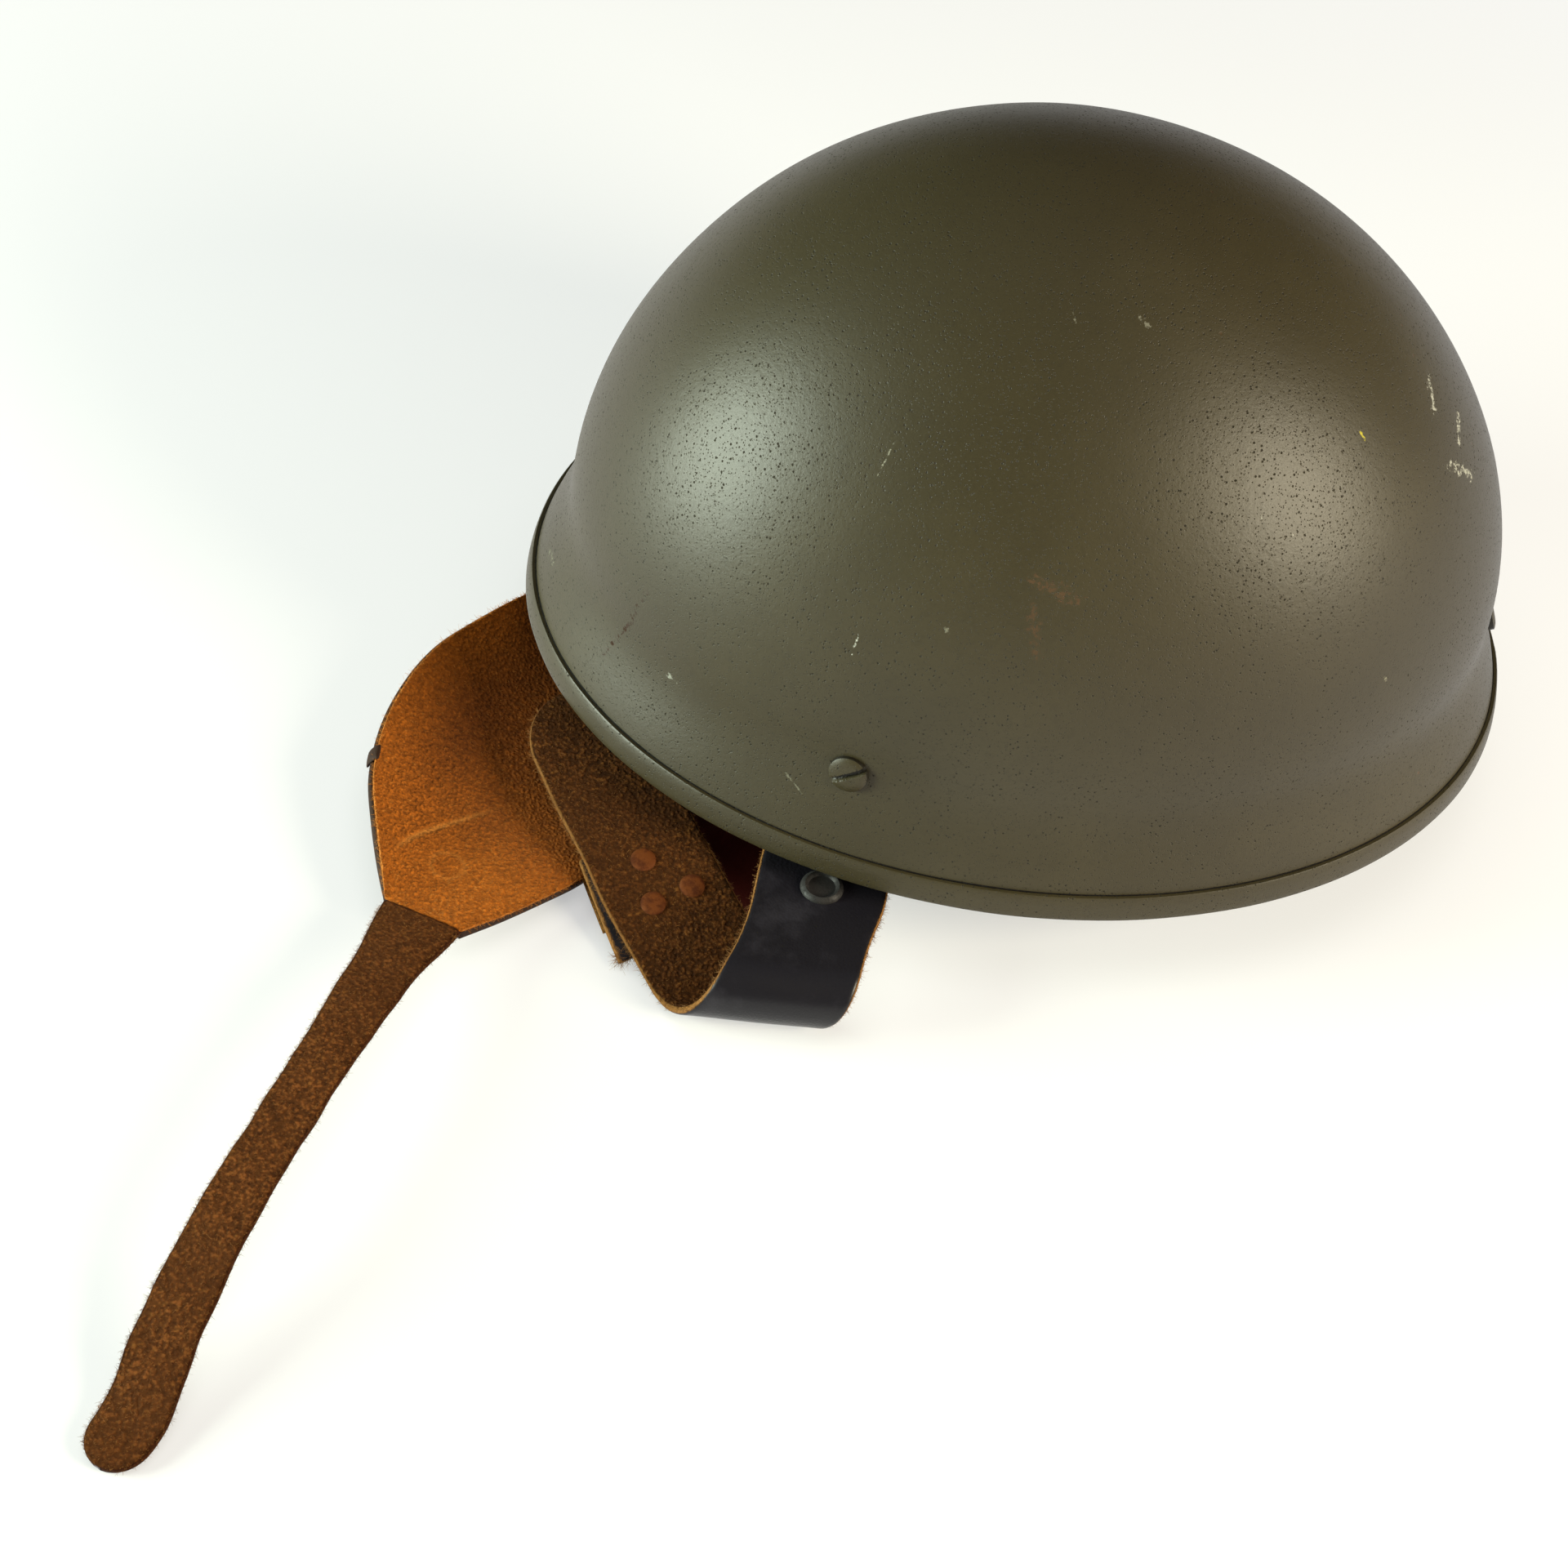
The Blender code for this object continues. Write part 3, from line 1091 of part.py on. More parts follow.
def stand_on_origin():
    """Moves the whole helmet so that the middle of its footprint is at the origin, on Z = 0."""
    bpy.context.view_layer.update()
    graph = bpy.context.evaluated_depsgraph_get()
    corners = []
    for obj in collection(PARTS).objects:
        if obj.type in ("MESH", "CURVE"):
            evaluated = obj.evaluated_get(graph)
            mesh = evaluated.to_mesh()
            points = np.array([tuple(obj.matrix_world @ v.co) for v in mesh.vertices])
            corners += [points.min(0), points.max(0)]
            evaluated.to_mesh_clear()
    low, high = np.min(corners, 0), np.max(corners, 0)
    root = bpy.data.objects.new("helmet_root", None)
    collection(PARTS).objects.link(root)
    bpy.context.view_layer.update()
    for name in (PARTS, CUTTERS):
        for obj in collection(name).objects:
            if obj.parent is None and obj is not root:
                attach(obj, root)
    root.location = (-(low[0] + high[0]) / 2, -(low[1] + high[1]) / 2, -low[2])
    bpy.context.view_layer.update()


def build():
    places = harness_places()
    shell_piece(places)
    rim_pieces()
    harness_screw("left_temple_screw", places["left"])
    harness_screw("right_temple_screw", places["right"])
    harness_screw("nape_screw", places["nape"])
    clamped_pieces(places)
    liner_pieces()
    ear_flap()
    liner_pads()
    crown_pad()
    crown_straps()
    strap = left_strap(places)
    depth = buckle_tab(strap)
    strap_stud(strap)
    buckle(depth)
    seam, along, side = cup_axes()
    cup_end = cup_surface(np.array(1.0), np.array(0.0)) + along * SEAM_GAP / 2
    cup_end[2] -= STRAP_THICKNESS / 2 + GAP
    cup_axis = axis_empty("cup_axis", cup_end, side)
    cup_pieces(cup_axis)
    seam_point = cup_surface(np.array(0.0), np.array(0.0)) - along * SEAM_GAP / 2
    seam_point[2] += CUP_THICKNESS / 2 + GAP + LINING_THICKNESS + GAP
    strap_axis = axis_empty("chin_strap_axis", seam_point, -side)
    attach(strap_axis, cup_axis)
    chin_strap(strap_axis)
    edge_clip(cup_axis)
    right_strap(places)
    stand_on_origin()


clear_scene()
MATERIALS = {
    "olive": finish("olive_paint", (0.085, 0.080, 0.045), 0.55),
    "black_trim": finish("black_trim", (0.010, 0.009, 0.008), 0.60),
    "steel": finish("plain_steel", (0.35, 0.34, 0.32), 0.40, 1.0),
    "black_metal": finish("black_metal", (0.05, 0.05, 0.055), 0.35, 0.6),
    "copper": finish("copper", (0.40, 0.14, 0.05), 0.45, 0.8),
    "suede": finish("brown_suede", (0.130, 0.055, 0.016), 0.95),
    "black_leather": finish("black_leather", (0.012, 0.011, 0.016), 0.40),
    "maroon": finish("maroon_leather", (0.060, 0.012, 0.008), 0.70),
    "lining": finish("tan_lining", (0.42, 0.17, 0.035), 0.95),
    "fibre": finish("fibre_board", (0.030, 0.026, 0.022), 0.60),
    "rubber": finish("sponge_rubber", (0.045, 0.042, 0.040), 0.85),
    "webbing": finish("khaki_webbing", (0.25, 0.20, 0.11), 0.90),
}
LEFT_PROFILE = left_strap_profile()
STRAP_EXIT_X = strap_exit()
build()
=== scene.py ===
"""Dresses the paratrooper helmet: painted steel shell, leather harness, liner, and a pale studio."""

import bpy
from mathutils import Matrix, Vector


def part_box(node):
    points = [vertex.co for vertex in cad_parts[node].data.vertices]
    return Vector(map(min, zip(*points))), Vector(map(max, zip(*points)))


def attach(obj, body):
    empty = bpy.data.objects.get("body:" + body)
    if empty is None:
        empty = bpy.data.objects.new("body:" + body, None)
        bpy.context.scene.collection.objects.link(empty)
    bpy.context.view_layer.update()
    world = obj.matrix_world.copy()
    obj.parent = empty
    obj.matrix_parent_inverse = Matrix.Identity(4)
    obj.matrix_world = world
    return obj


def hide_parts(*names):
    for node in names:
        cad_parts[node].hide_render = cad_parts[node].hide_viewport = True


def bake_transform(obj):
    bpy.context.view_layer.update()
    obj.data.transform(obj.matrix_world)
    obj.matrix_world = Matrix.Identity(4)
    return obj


bl_info = {
    "name": "Paratrooper Helmet",
    "version": (1, 0, 0),
    "blender": (4, 5, 0),
    "location": "View3D > Sidebar > Helmet",
    "description": "Builds the finished surfaces and materials of a paratrooper helmet and its studio",
    "category": "Object",
}

import math

import bmesh
import bpy
import numpy as np
from bpy.props import FloatProperty, FloatVectorProperty, PointerProperty
from bpy.types import Operator, Panel, PropertyGroup
from mathutils import Matrix, Vector

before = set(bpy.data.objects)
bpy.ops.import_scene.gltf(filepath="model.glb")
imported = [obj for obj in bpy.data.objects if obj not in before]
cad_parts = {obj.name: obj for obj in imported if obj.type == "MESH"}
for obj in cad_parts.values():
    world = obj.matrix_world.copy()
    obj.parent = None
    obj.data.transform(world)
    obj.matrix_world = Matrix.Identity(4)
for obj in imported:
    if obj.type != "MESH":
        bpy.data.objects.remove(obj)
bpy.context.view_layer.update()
BAND_BOX = [np.array(corner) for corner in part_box("rim_band")]
AXIS = np.array([*((BAND_BOX[0] + BAND_BOX[1])[:2] / 2), 0.0])


# Kinds of add-on settings


def length(name, description, default):
    return FloatProperty(name=name, description=description, default=default, unit="LENGTH", precision=5)


def angle(name, description, degrees):
    return FloatProperty(name=name, description=description, default=math.radians(degrees), subtype="ANGLE")


def share(name, description, default):
    return FloatProperty(name=name, description=description, default=default)


def colour(name, description, default):
    return FloatVectorProperty(name=name, description=description, default=default, size=3,
                               subtype="COLOR", min=0.0, max=1.0)


class HelmetSizes(PropertyGroup):
    """Sizes that the finished surfaces share with the solids."""

    gap: length("Gap", "Space between pieces that touch", 0.0003)
    rim_height: length("Rim height", "Height of the rim over the table", 0.026)
    half_length: length("Half length", "Half of the shell's length at its edge", 0.1388)
    half_width: length("Half width", "Half of the shell's width at its edge", 0.1118)
    dome_half: length("Dome half length", "Half of the dome's length over the flare", 0.1288)
    shell_height: length("Shell height", "From the edge to the crown", 0.1566)
    dome_start: length("Dome start", "Height at which the dome begins to close", 0.0368)
    dome_power: share("Dome power", "How square the dome's shoulder is", 1.79)
    flare_height: length("Flare height", "Height of the flared skirt", 0.036)
    lean: length("Crown lean", "How far the crown leans to the brow", 0.0067)
    wall: length("Wall", "Thickness of the steel", 0.0015)
    band_wall: length("Band wall", "Thickness of the folded band", 0.0009)
    band_height: length("Band height", "Height of the folded band", 0.0082)
    temple_angle: angle("Temple angle", "Where the temple screws stand, from the nape", 117.9)
    temple_height: length("Temple screw height", "Height of the temple screws over the edge", 0.0314)
    nape_height: length("Nape screw height", "Height of the nape screw over the edge", 0.020)
    head_radius: length("Screw head radius", "Radius of the harness screws' heads", 0.0052)
    head_height: length("Screw head height", "Height of the harness screws' heads", 0.0018)
    slot_width: length("Slot width", "Width of the screw slots", 0.0012)
    liner_half_length: length("Liner half length", "Half of the liner band's length", 0.103)
    liner_half_width: length("Liner half width", "Half of the liner band's width", 0.081)
    liner_wall: length("Liner wall", "Thickness of the liner band", 0.0020)
    strap_width: length("Harness width", "Width of the temple straps", 0.033)
    strap_thickness: length("Harness thickness", "Thickness of the temple straps", 0.0024)
    chin_width: length("Chin strap width", "Width of the chin strap", 0.0162)
    cup_thickness: length("Cup thickness", "Thickness of the chin cup's leather", 0.0022)
    lining_thickness: length("Lining thickness", "Thickness of the cup's lining", 0.0010)
    rivet_radius: length("Rivet radius", "Radius of the rivet heads", 0.0034)


class HelmetFinishes(PropertyGroup):
    """Colours of the helmet's finishes."""

    olive: colour("Olive paint", "Paint of the shell", (0.042, 0.033, 0.014))
    grain: colour("Grain leather", "Smooth side of the leather", (0.009, 0.008, 0.011))
    suede: colour("Suede", "Rough side of the leather", (0.105, 0.035, 0.0075))
    raw_edge: colour("Raw edge", "Cut fibres of the leather", (0.36, 0.165, 0.045))
    lining: colour("Lining", "Napped lining of the chin cup", (0.45, 0.122, 0.010))
    copper: colour("Copper", "Rivet heads", (0.125, 0.034, 0.006))
    steel: colour("Steel", "Plain steel fittings", (0.42, 0.41, 0.39))
    webbing: colour("Webbing", "Straps over the head", (0.25, 0.20, 0.11))
    floor: colour("Floor", "Studio floor", (0.90, 0.90, 0.90))


# Shared forms, in metres from the middle of the rim


def smooth_step(x):
    """3x^2 - 2x^3, held between 0 and 1."""
    x = np.clip(x, 0.0, 1.0)
    return x * x * (3 - 2 * x)


def through(table, x):
    """A smooth curve through the rows of a table (cubic Hermite), read at x in its first column."""
    table = np.array(table, float)
    knots, values = table[:, 0], table[:, 1:]
    slopes = np.gradient(values, knots, axis=0)
    x = np.clip(np.atleast_1d(x), knots[0], knots[-1])
    i = np.clip(np.searchsorted(knots, x) - 1, 0, len(knots) - 2)
    width = (knots[i + 1] - knots[i])[:, None]
    u = (x - knots[i])[:, None] / width
    rise = u * u * (3 - 2 * u)
    start = u * (1 - u) ** 2 * width
    end = u * u * (u - 1) * width
    return values[i] * (1 - rise) + values[i + 1] * rise + slopes[i] * start + slopes[i + 1] * end


def unit(v):
    """Vectors scaled to length 1."""
    return v / np.maximum(np.linalg.norm(v, axis=-1, keepdims=True), 1e-12)


def circle(count):
    """Angles evenly spaced once round."""
    return np.linspace(0, 2 * math.pi, count, endpoint=False)


def ripple(u, v, seed, waves=9):
    """A smooth uneven height between about -1 and 1: a sum of plane waves with seeded directions."""
    rng = np.random.default_rng(seed)
    total = 0.0
    for k in range(waves):
        direction = rng.uniform(0, 2 * math.pi)
        rate = rng.uniform(0.6, 2.2)
        phase = rng.uniform(0, 6.28)
        total = total + np.sin(rate * (u * math.cos(direction) + v * math.sin(direction)) + phase)
    return total / math.sqrt(waves) / 1.4


def shell_radius(s, z):
    """Dome radius R sqrt(1 - climb^p), widened by a smooth step over the skirt."""
    climb = np.clip((z - s.dome_start) / (s.shell_height - s.dome_start), 0.0, 1.0)
    dome = s.dome_half * np.sqrt(np.maximum(1 - climb ** s.dome_power, 0.0))
    return dome + (s.half_length - s.dome_half) * smooth_step(1 - z / s.flare_height)


def shell_surface(s, around, z):
    """x = r cos a less the crown's lean, y = r sin a at the oval's ratio, z over the rim."""
    radius = shell_radius(s, z)
    x = radius * np.cos(around) - s.lean * (1 - radius / s.half_length)
    y = radius * s.half_width / s.half_length * np.sin(around)
    return np.stack(np.broadcast_arrays(x, y, z + s.rim_height), -1)


def shell_frame(s, around, z):
    """A point of the shell with its directions along the rim, up the wall and outwards."""
    around, z = np.broadcast_arrays(np.asarray(around, float), np.asarray(z, float))
    tiny = 1e-5
    turn = tiny / s.half_length
    along = unit(shell_surface(s, around + turn, z) - shell_surface(s, around - turn, z))
    up = unit(shell_surface(s, around, z + tiny) - shell_surface(s, around, z - tiny))
    return shell_surface(s, around, z), along, up, unit(np.cross(along, up))


def shell_offset(s, around, z, out):
    """A point at a distance out of the shell's outer surface: point + normal * out."""
    point, along, up, outward = shell_frame(s, around, z)
    return point + outward * np.asarray(out, float)[..., None]


def oval_angle(s, direction):
    """The oval's parameter at which a point stands in a given direction: tan a = tan d / ratio."""
    squash = s.half_width / s.half_length
    return math.atan2(math.sin(direction) / squash, math.cos(direction))


def liner_point(s, around, z, out):
    """A point at a distance out of the liner band: an ellipse with both half axes grown by it."""
    x = (s.liner_half_length + out) * np.cos(around)
    y = (s.liner_half_width + out) * np.sin(around)
    return np.stack(np.broadcast_arrays(x, y, z), -1)


# Left strap: its profile seen from the edge, and its middle line

STRAP_TOP = 0.043
SWERVE = math.radians(35)
SWERVE_LENGTH = 0.008
SLOPE_LENGTH = 0.014
BEND_RADIUS = 0.0070
REACH = 0.0357
CURL_FOOT = 0.0015
OVERTURN = math.radians(18)
RETURN_LENGTH = 0.089
FLATTEN = math.radians(14)
EXIT_X = 0.0515
DRIFT = 0.0710
OUTSIDE = 0.154
DRIFT_SHARES = [
    (-0.30, 0.0), (-0.10, 0.0), (0.0, 0.007), (0.10, 0.045), (0.19, 0.092), (0.27, 0.145),
    (0.39, 0.296), (0.50, 0.458), (0.70, 0.711), (0.85, 0.880), (1.10, 1.150),
]
FOLLOW_LENGTH = 0.035
# From the shell's outside in: the wall, air, the screw's plate, air and half the strap
WALL_DEPTH = 0.0015 + 0.0005 + 0.0010 + 0.0005 + 0.0012
WALL_LEAN = 1.03
TAB_START = 0.083
TAB_FOLD = 0.112
TAB_RETURN = 0.020
TAB_WIDTH = 0.0165
TAB_THICKNESS = 0.0012
WIRE_RADIUS = 0.0010
TINY = 1e-4
ROOT_DEPTH = 0.00005


def walk(moves, start, heading, step=0.0004):
    """Follows moves of (length, turn) in a plane: distance, place and heading all along."""
    lengths, places, headings = [0.0], [np.array(start, float)], [heading]
    for run, turn in moves:
        count = max(2, int(round(run / step)))
        for _ in range(count):
            middle = headings[-1] + turn / count / 2
            places.append(places[-1] + run / count * np.array([math.cos(middle), math.sin(middle)]))
            headings.append(headings[-1] + turn / count)
            lengths.append(lengths[-1] + run / count)
    return np.array(lengths), np.array(places), np.array(headings)


def along_walk(route, u):
    """Both coordinates and the heading at a distance along a walk."""
    lengths, places, headings = route
    return [np.interp(u, lengths, values) for values in (places[:, 0], places[:, 1], headings)]


def left_profile(s):
    """Down inside the shell, in and out under the rim, round the curl and back over the table."""
    top = s.rim_height - BEND_RADIUS
    curl = (top - CURL_FOOT) / 2
    bend = math.pi / 2 + SWERVE
    fall = SWERVE_LENGTH * math.sin(SWERVE) / SWERVE + SLOPE_LENGTH * math.cos(SWERVE)
    fall += BEND_RADIUS * (1 + math.sin(SWERVE))
    upper = [(STRAP_TOP + s.rim_height - top - fall, 0.0), (SWERVE_LENGTH, -SWERVE), (SLOPE_LENGTH, 0.0),
             (BEND_RADIUS * bend, bend)]
    lower = [(REACH, 0.0), (curl * (math.pi + OVERTURN), -(math.pi + OVERTURN)), (RETURN_LENGTH, FLATTEN)]
    start = (-WALL_DEPTH * WALL_LEAN, s.rim_height + STRAP_TOP)
    lengths, places, headings = walk(upper + lower, start, -math.pi / 2)
    return lengths - sum(run for run, turn in upper), places, headings


def left_surface(s, profile, x, distance, lift):
    """The profile swept along X: near the rim it keeps to the oval, farther out it runs straight."""
    out, height, heading = along_walk(profile, distance)
    out = out + lift * np.sin(heading)
    height = height - lift * np.cos(heading)
    ratio = s.half_width / s.half_length
    rim_at_x = ratio * np.sqrt(s.half_length ** 2 - x ** 2)
    rim_at_exit = ratio * math.sqrt(s.half_length ** 2 - EXIT_X ** 2)
    above = np.clip(height - s.rim_height, 0.0, None)
    shrink = shell_radius(s, above) / s.half_length
    wall = ratio * np.sqrt((s.half_length * shrink) ** 2 - (x + s.lean * (1 - shrink)) ** 2)
    follow = 1 - smooth_step(distance / FOLLOW_LENGTH)
    slant = np.hypot(1.0, ratio ** 2 * x / rim_at_x)
    y = follow * (np.where(above > 0, wall, rim_at_x) + out * slant) + (1 - follow) * (rim_at_exit + out)
    return np.stack(np.broadcast_arrays(x, -y, height), -1)


def left_centre(distance):
    """X of the left strap's middle line: it drifts sideways by a curve of the distance walked."""
    shape = np.shape(distance)
    return -EXIT_X - DRIFT * through(DRIFT_SHARES, np.ravel(distance) / OUTSIDE)[:, 0].reshape(shape)


def left_slope(distance):
    """How fast the left strap's middle line drifts, by differences."""
    return (left_centre(distance + TINY) - left_centre(distance - TINY)) / (2 * TINY)


# Chin cup and chin strap

SEAM = np.array([-0.1569, -0.1174, 0.0])
HEADING = math.atan2(0.925, 0.380)
ALONG = np.array([math.cos(HEADING), math.sin(HEADING), 0.0])
SIDE = np.array([ALONG[1], -ALONG[0], 0.0])
CUP_LENGTH = 0.152
CUP_HALF = 0.042
CUP_RIM = 0.0150
CUP_LEFT = [
    (0.0, 0.27), (0.06, 0.44), (0.13, 0.62), (0.20, 0.78), (0.29, 0.91), (0.42, 1.0),
    (0.55, 0.98), (0.66, 0.86), (0.78, 0.70), (0.90, 0.50), (1.0, 0.40),
]
CUP_RIGHT = [
    (0.0, 0.27), (0.07, 0.41), (0.15, 0.56), (0.23, 0.69), (0.36, 0.80), (0.52, 0.83),
    (0.66, 0.76), (0.80, 0.59), (0.90, 0.47), (1.0, 0.40),
]
CUP_HEIGHTS = [
    (0.0, 0.60, 0.54, 0.53), (0.07, 0.80, 0.46, 0.40), (0.15, 0.92, 0.38, 0.30),
    (0.25, 0.98, 0.22, 0.17), (0.40, 1.0, 0.13, 0.15), (0.60, 1.0, 0.13, 0.15),
    (0.80, 0.80, 0.20, 0.20), (0.94, 0.44, 0.33, 0.33), (1.0, 0.36, 0.36, 0.36),
]
CUP_MEAN_HALF = CUP_HALF * 0.9
CUP_END_HALF = CUP_HALF * 0.40
STUD_ALONG = 0.125
CLIP_ALONG = 0.254
CLIP_HALF = 0.015
STRAP_REACH_X = 0.0561
STRAP_REACH_Y = 0.1600
STRAP_ARCH = 0.0170
STRAP_ROUTE = [
    (0.0, 0.0, 0.60), (0.085, 0.088, 0.76), (0.22, 0.222, 0.95), (0.376, 0.379, 1.03),
    (0.52, 0.53, 1.0), (0.635, 0.647, 0.93), (0.80, 0.80, 0.52), (0.94, 0.906, 0.16), (1.0, 1.0, 0.08),
]
STRAP_FLARE = [(0.0, 1.41), (0.06, 1.26), (0.13, 1.06), (0.22, 0.97), (1.0, 1.0)]


def cup_surface(s, along, across):
    """The cup's middle surface: a width curve each side, and a height that grows as across squared."""
    along, across = np.broadcast_arrays(np.asarray(along, float), np.asarray(across, float))
    flat = along.ravel()
    left = through(CUP_LEFT, flat)[:, 0].reshape(along.shape)
    right = through(CUP_RIGHT, flat)[:, 0].reshape(along.shape)
    heights = through(CUP_HEIGHTS, flat).reshape(along.shape + (3,))
    reach = CUP_HALF * across * np.where(across < 0, left, right)
    edge = np.where(across < 0, heights[..., 0], heights[..., 2])
    lift = heights[..., 1] + (edge - heights[..., 1]) * across ** 2
    point = SEAM + ALONG * (CUP_LENGTH * along)[..., None] + SIDE * reach[..., None]
    point[..., 2] = s.cup_thickness / 2 + CUP_RIM * lift
    return point


def chin_route(along):
    """The chin strap's middle line: sideways reach and arch as smooth curves of the share along it."""
    x, z = through(STRAP_ROUTE, along).T
    return np.stack([SEAM[0] - STRAP_REACH_X * x, SEAM[1] - STRAP_REACH_Y * along, STRAP_ARCH * z], -1)


# Meshes


def surface(name, grid, finish, wrap_u=False, wrap_v=False, cap_u=False, attributes=None, uv=None,
            body="helmet"):
    """A mesh over a grid of points: rows u, columns v, either way closed, or its end rows capped."""
    rows, columns = grid.shape[:2]
    i = np.arange(rows if wrap_u else rows - 1)[:, None]
    j = np.arange(columns if wrap_v else columns - 1)[None, :]
    a, b = i % rows, (i + 1) % rows
    c, d = j % columns, (j + 1) % columns
    quads = np.stack([a * columns + c, a * columns + d, b * columns + d, b * columns + c], -1).reshape(-1, 4)
    faces = quads.tolist()
    if cap_u:
        faces.append(list(range(columns))[::-1])
        faces.append(list(range((rows - 1) * columns, rows * columns)))
    mesh = point_mesh(name, grid, faces, attributes or {})
    if uv is not None:
        layer = mesh.uv_layers.new(name="UVMap")
        loops = np.empty(len(mesh.loops), np.int64)
        mesh.loops.foreach_get("vertex_index", loops)
        layer.data.foreach_set("uv", uv.reshape(-1, 2)[loops].astype(np.float32).ravel())
    mesh.validate()
    return smooth_object(mesh, finish, body)


def point_mesh(name, points, faces, attributes):
    """A mesh from points about the rim's middle, with a value at each point for every attribute."""
    mesh = bpy.data.meshes.new(name)
    mesh.from_pydata((points.reshape(-1, 3) + AXIS).tolist(), [], faces)
    for key, values in attributes.items():
        layer = mesh.attributes.new(key, "FLOAT", "POINT")
        values = np.broadcast_to(values, points.shape[:-1])
        layer.data.foreach_set("value", values.astype(np.float32).ravel())
    return mesh


def smooth_object(mesh, finish, body):
    """The object of a finished mesh, smooth shaded, in its finish, riding on its body if one is named."""
    turn_outwards(mesh)
    obj = bpy.data.objects.new(mesh.name, mesh)
    bpy.context.scene.collection.objects.link(obj)
    mesh.materials.append(finish)
    mesh.shade_smooth()
    if body:
        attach(obj, body)
    return obj


def turn_outwards(mesh):
    """Merges doubled points and turns the faces of a closed piece outwards."""
    work = bmesh.new()
    work.from_mesh(mesh)
    bmesh.ops.remove_doubles(work, verts=work.verts, dist=1e-6)
    bmesh.ops.recalc_face_normals(work, faces=work.faces)
    work.to_mesh(mesh)
    work.free()


def sharp(obj, degrees=40):
    """Edges that turn by more than the angle stay sharp in the shading."""
    obj.data.set_sharp_from_angle(angle=math.radians(degrees))


def strip_section(thickness, half_width, columns=22, corner=0.5):
    """A closed section across a strip: across from -1 to 1, lift, nearness to the edge, and side."""
    v = np.sin(np.linspace(-math.pi / 2, math.pi / 2, columns))
    start = 1 - corner * thickness / half_width
    over = np.clip((np.abs(v) - start) / (1 - start), 0, 1)
    lift = thickness / 2 * np.sqrt(1 - over ** 2)
    across = np.concatenate([v, v[::-1][1:-1]])
    lifts = np.concatenate([lift, -lift[::-1][1:-1]])
    nearness = np.concatenate([over, over[::-1][1:-1]])
    side = np.clip(lifts / thickness * 4 + 0.5, 0, 1)
    return across, lifts, nearness, side


def turned(name, profile, matrix, finish, steps=48, body="helmet"):
    """A surface of revolution: the profile's (radius, height) turned round the placement's Z."""
    profile = np.array(profile, float)
    turn = circle(steps)
    local = np.stack([profile[:, :1] * np.cos(turn), profile[:, :1] * np.sin(turn),
                      np.repeat(profile[:, 1:], steps, 1)], -1)
    obj = surface(name, placed(matrix, local), finish, wrap_v=True, body=body)
    sharp(obj)
    return obj


def placed(matrix, local):
    """Local points taken through a placement."""
    m = np.array(matrix)
    return local @ m[:3, :3].T + m[:3, 3]


def frame_matrix(point, side, outward):
    """A placement whose Z points outwards and whose X is the side direction made square to it."""
    z = Vector(outward).normalized()
    x = Vector(side)
    x = (x - x.project(z)).normalized()
    rotation = Matrix((x, z.cross(x), z)).transposed().to_4x4()
    return Matrix.Translation(Vector(point)) @ rotation


def harness_place(s, name):
    """The placement of a harness screw: its Z points out of the shell, its X runs along the rim."""
    spots = {"left": (-s.temple_angle, s.temple_height), "right": (s.temple_angle, s.temple_height),
             "nape": (0.0, s.nape_height)}
    point, along, up, outward = shell_frame(s, oval_angle(s, spots[name][0]), spots[name][1])
    return frame_matrix(point, along, outward)


# Shader maths


def math_node(operation, swapped=False):
    """A method that adds a Math node fed by the value and what it is joined with."""

    def join(self, *others):
        inputs = (*others, self) if swapped else (self, *others)
        return self.finish.math(operation, *inputs)

    return join


class Value:
    """A shader socket in a Python expression; each operator adds its Math node."""

    def __init__(self, finish, socket):
        self.finish = finish
        self.socket = socket

    __add__ = math_node("ADD")
    __radd__ = math_node("ADD", swapped=True)
    __sub__ = math_node("SUBTRACT")
    __rsub__ = math_node("SUBTRACT", swapped=True)
    __mul__ = math_node("MULTIPLY")
    __rmul__ = math_node("MULTIPLY", swapped=True)
    least = math_node("MINIMUM")
    most = math_node("MAXIMUM")
    sine = math_node("SINE")
    absolute = math_node("ABSOLUTE")

    def between(self, low, high, start=0.0, end=1.0):
        """0 below low and 1 above high, with a smooth step between, mapped from start to end."""
        settings = {"interpolation_type": "SMOOTHSTEP"}
        return self.finish.node("ShaderNodeMapRange", settings, self, low, high, start, end)


# The frame brings materials named as the CAD's finishes, so these have names of their own
SUFFIX = "_finish"


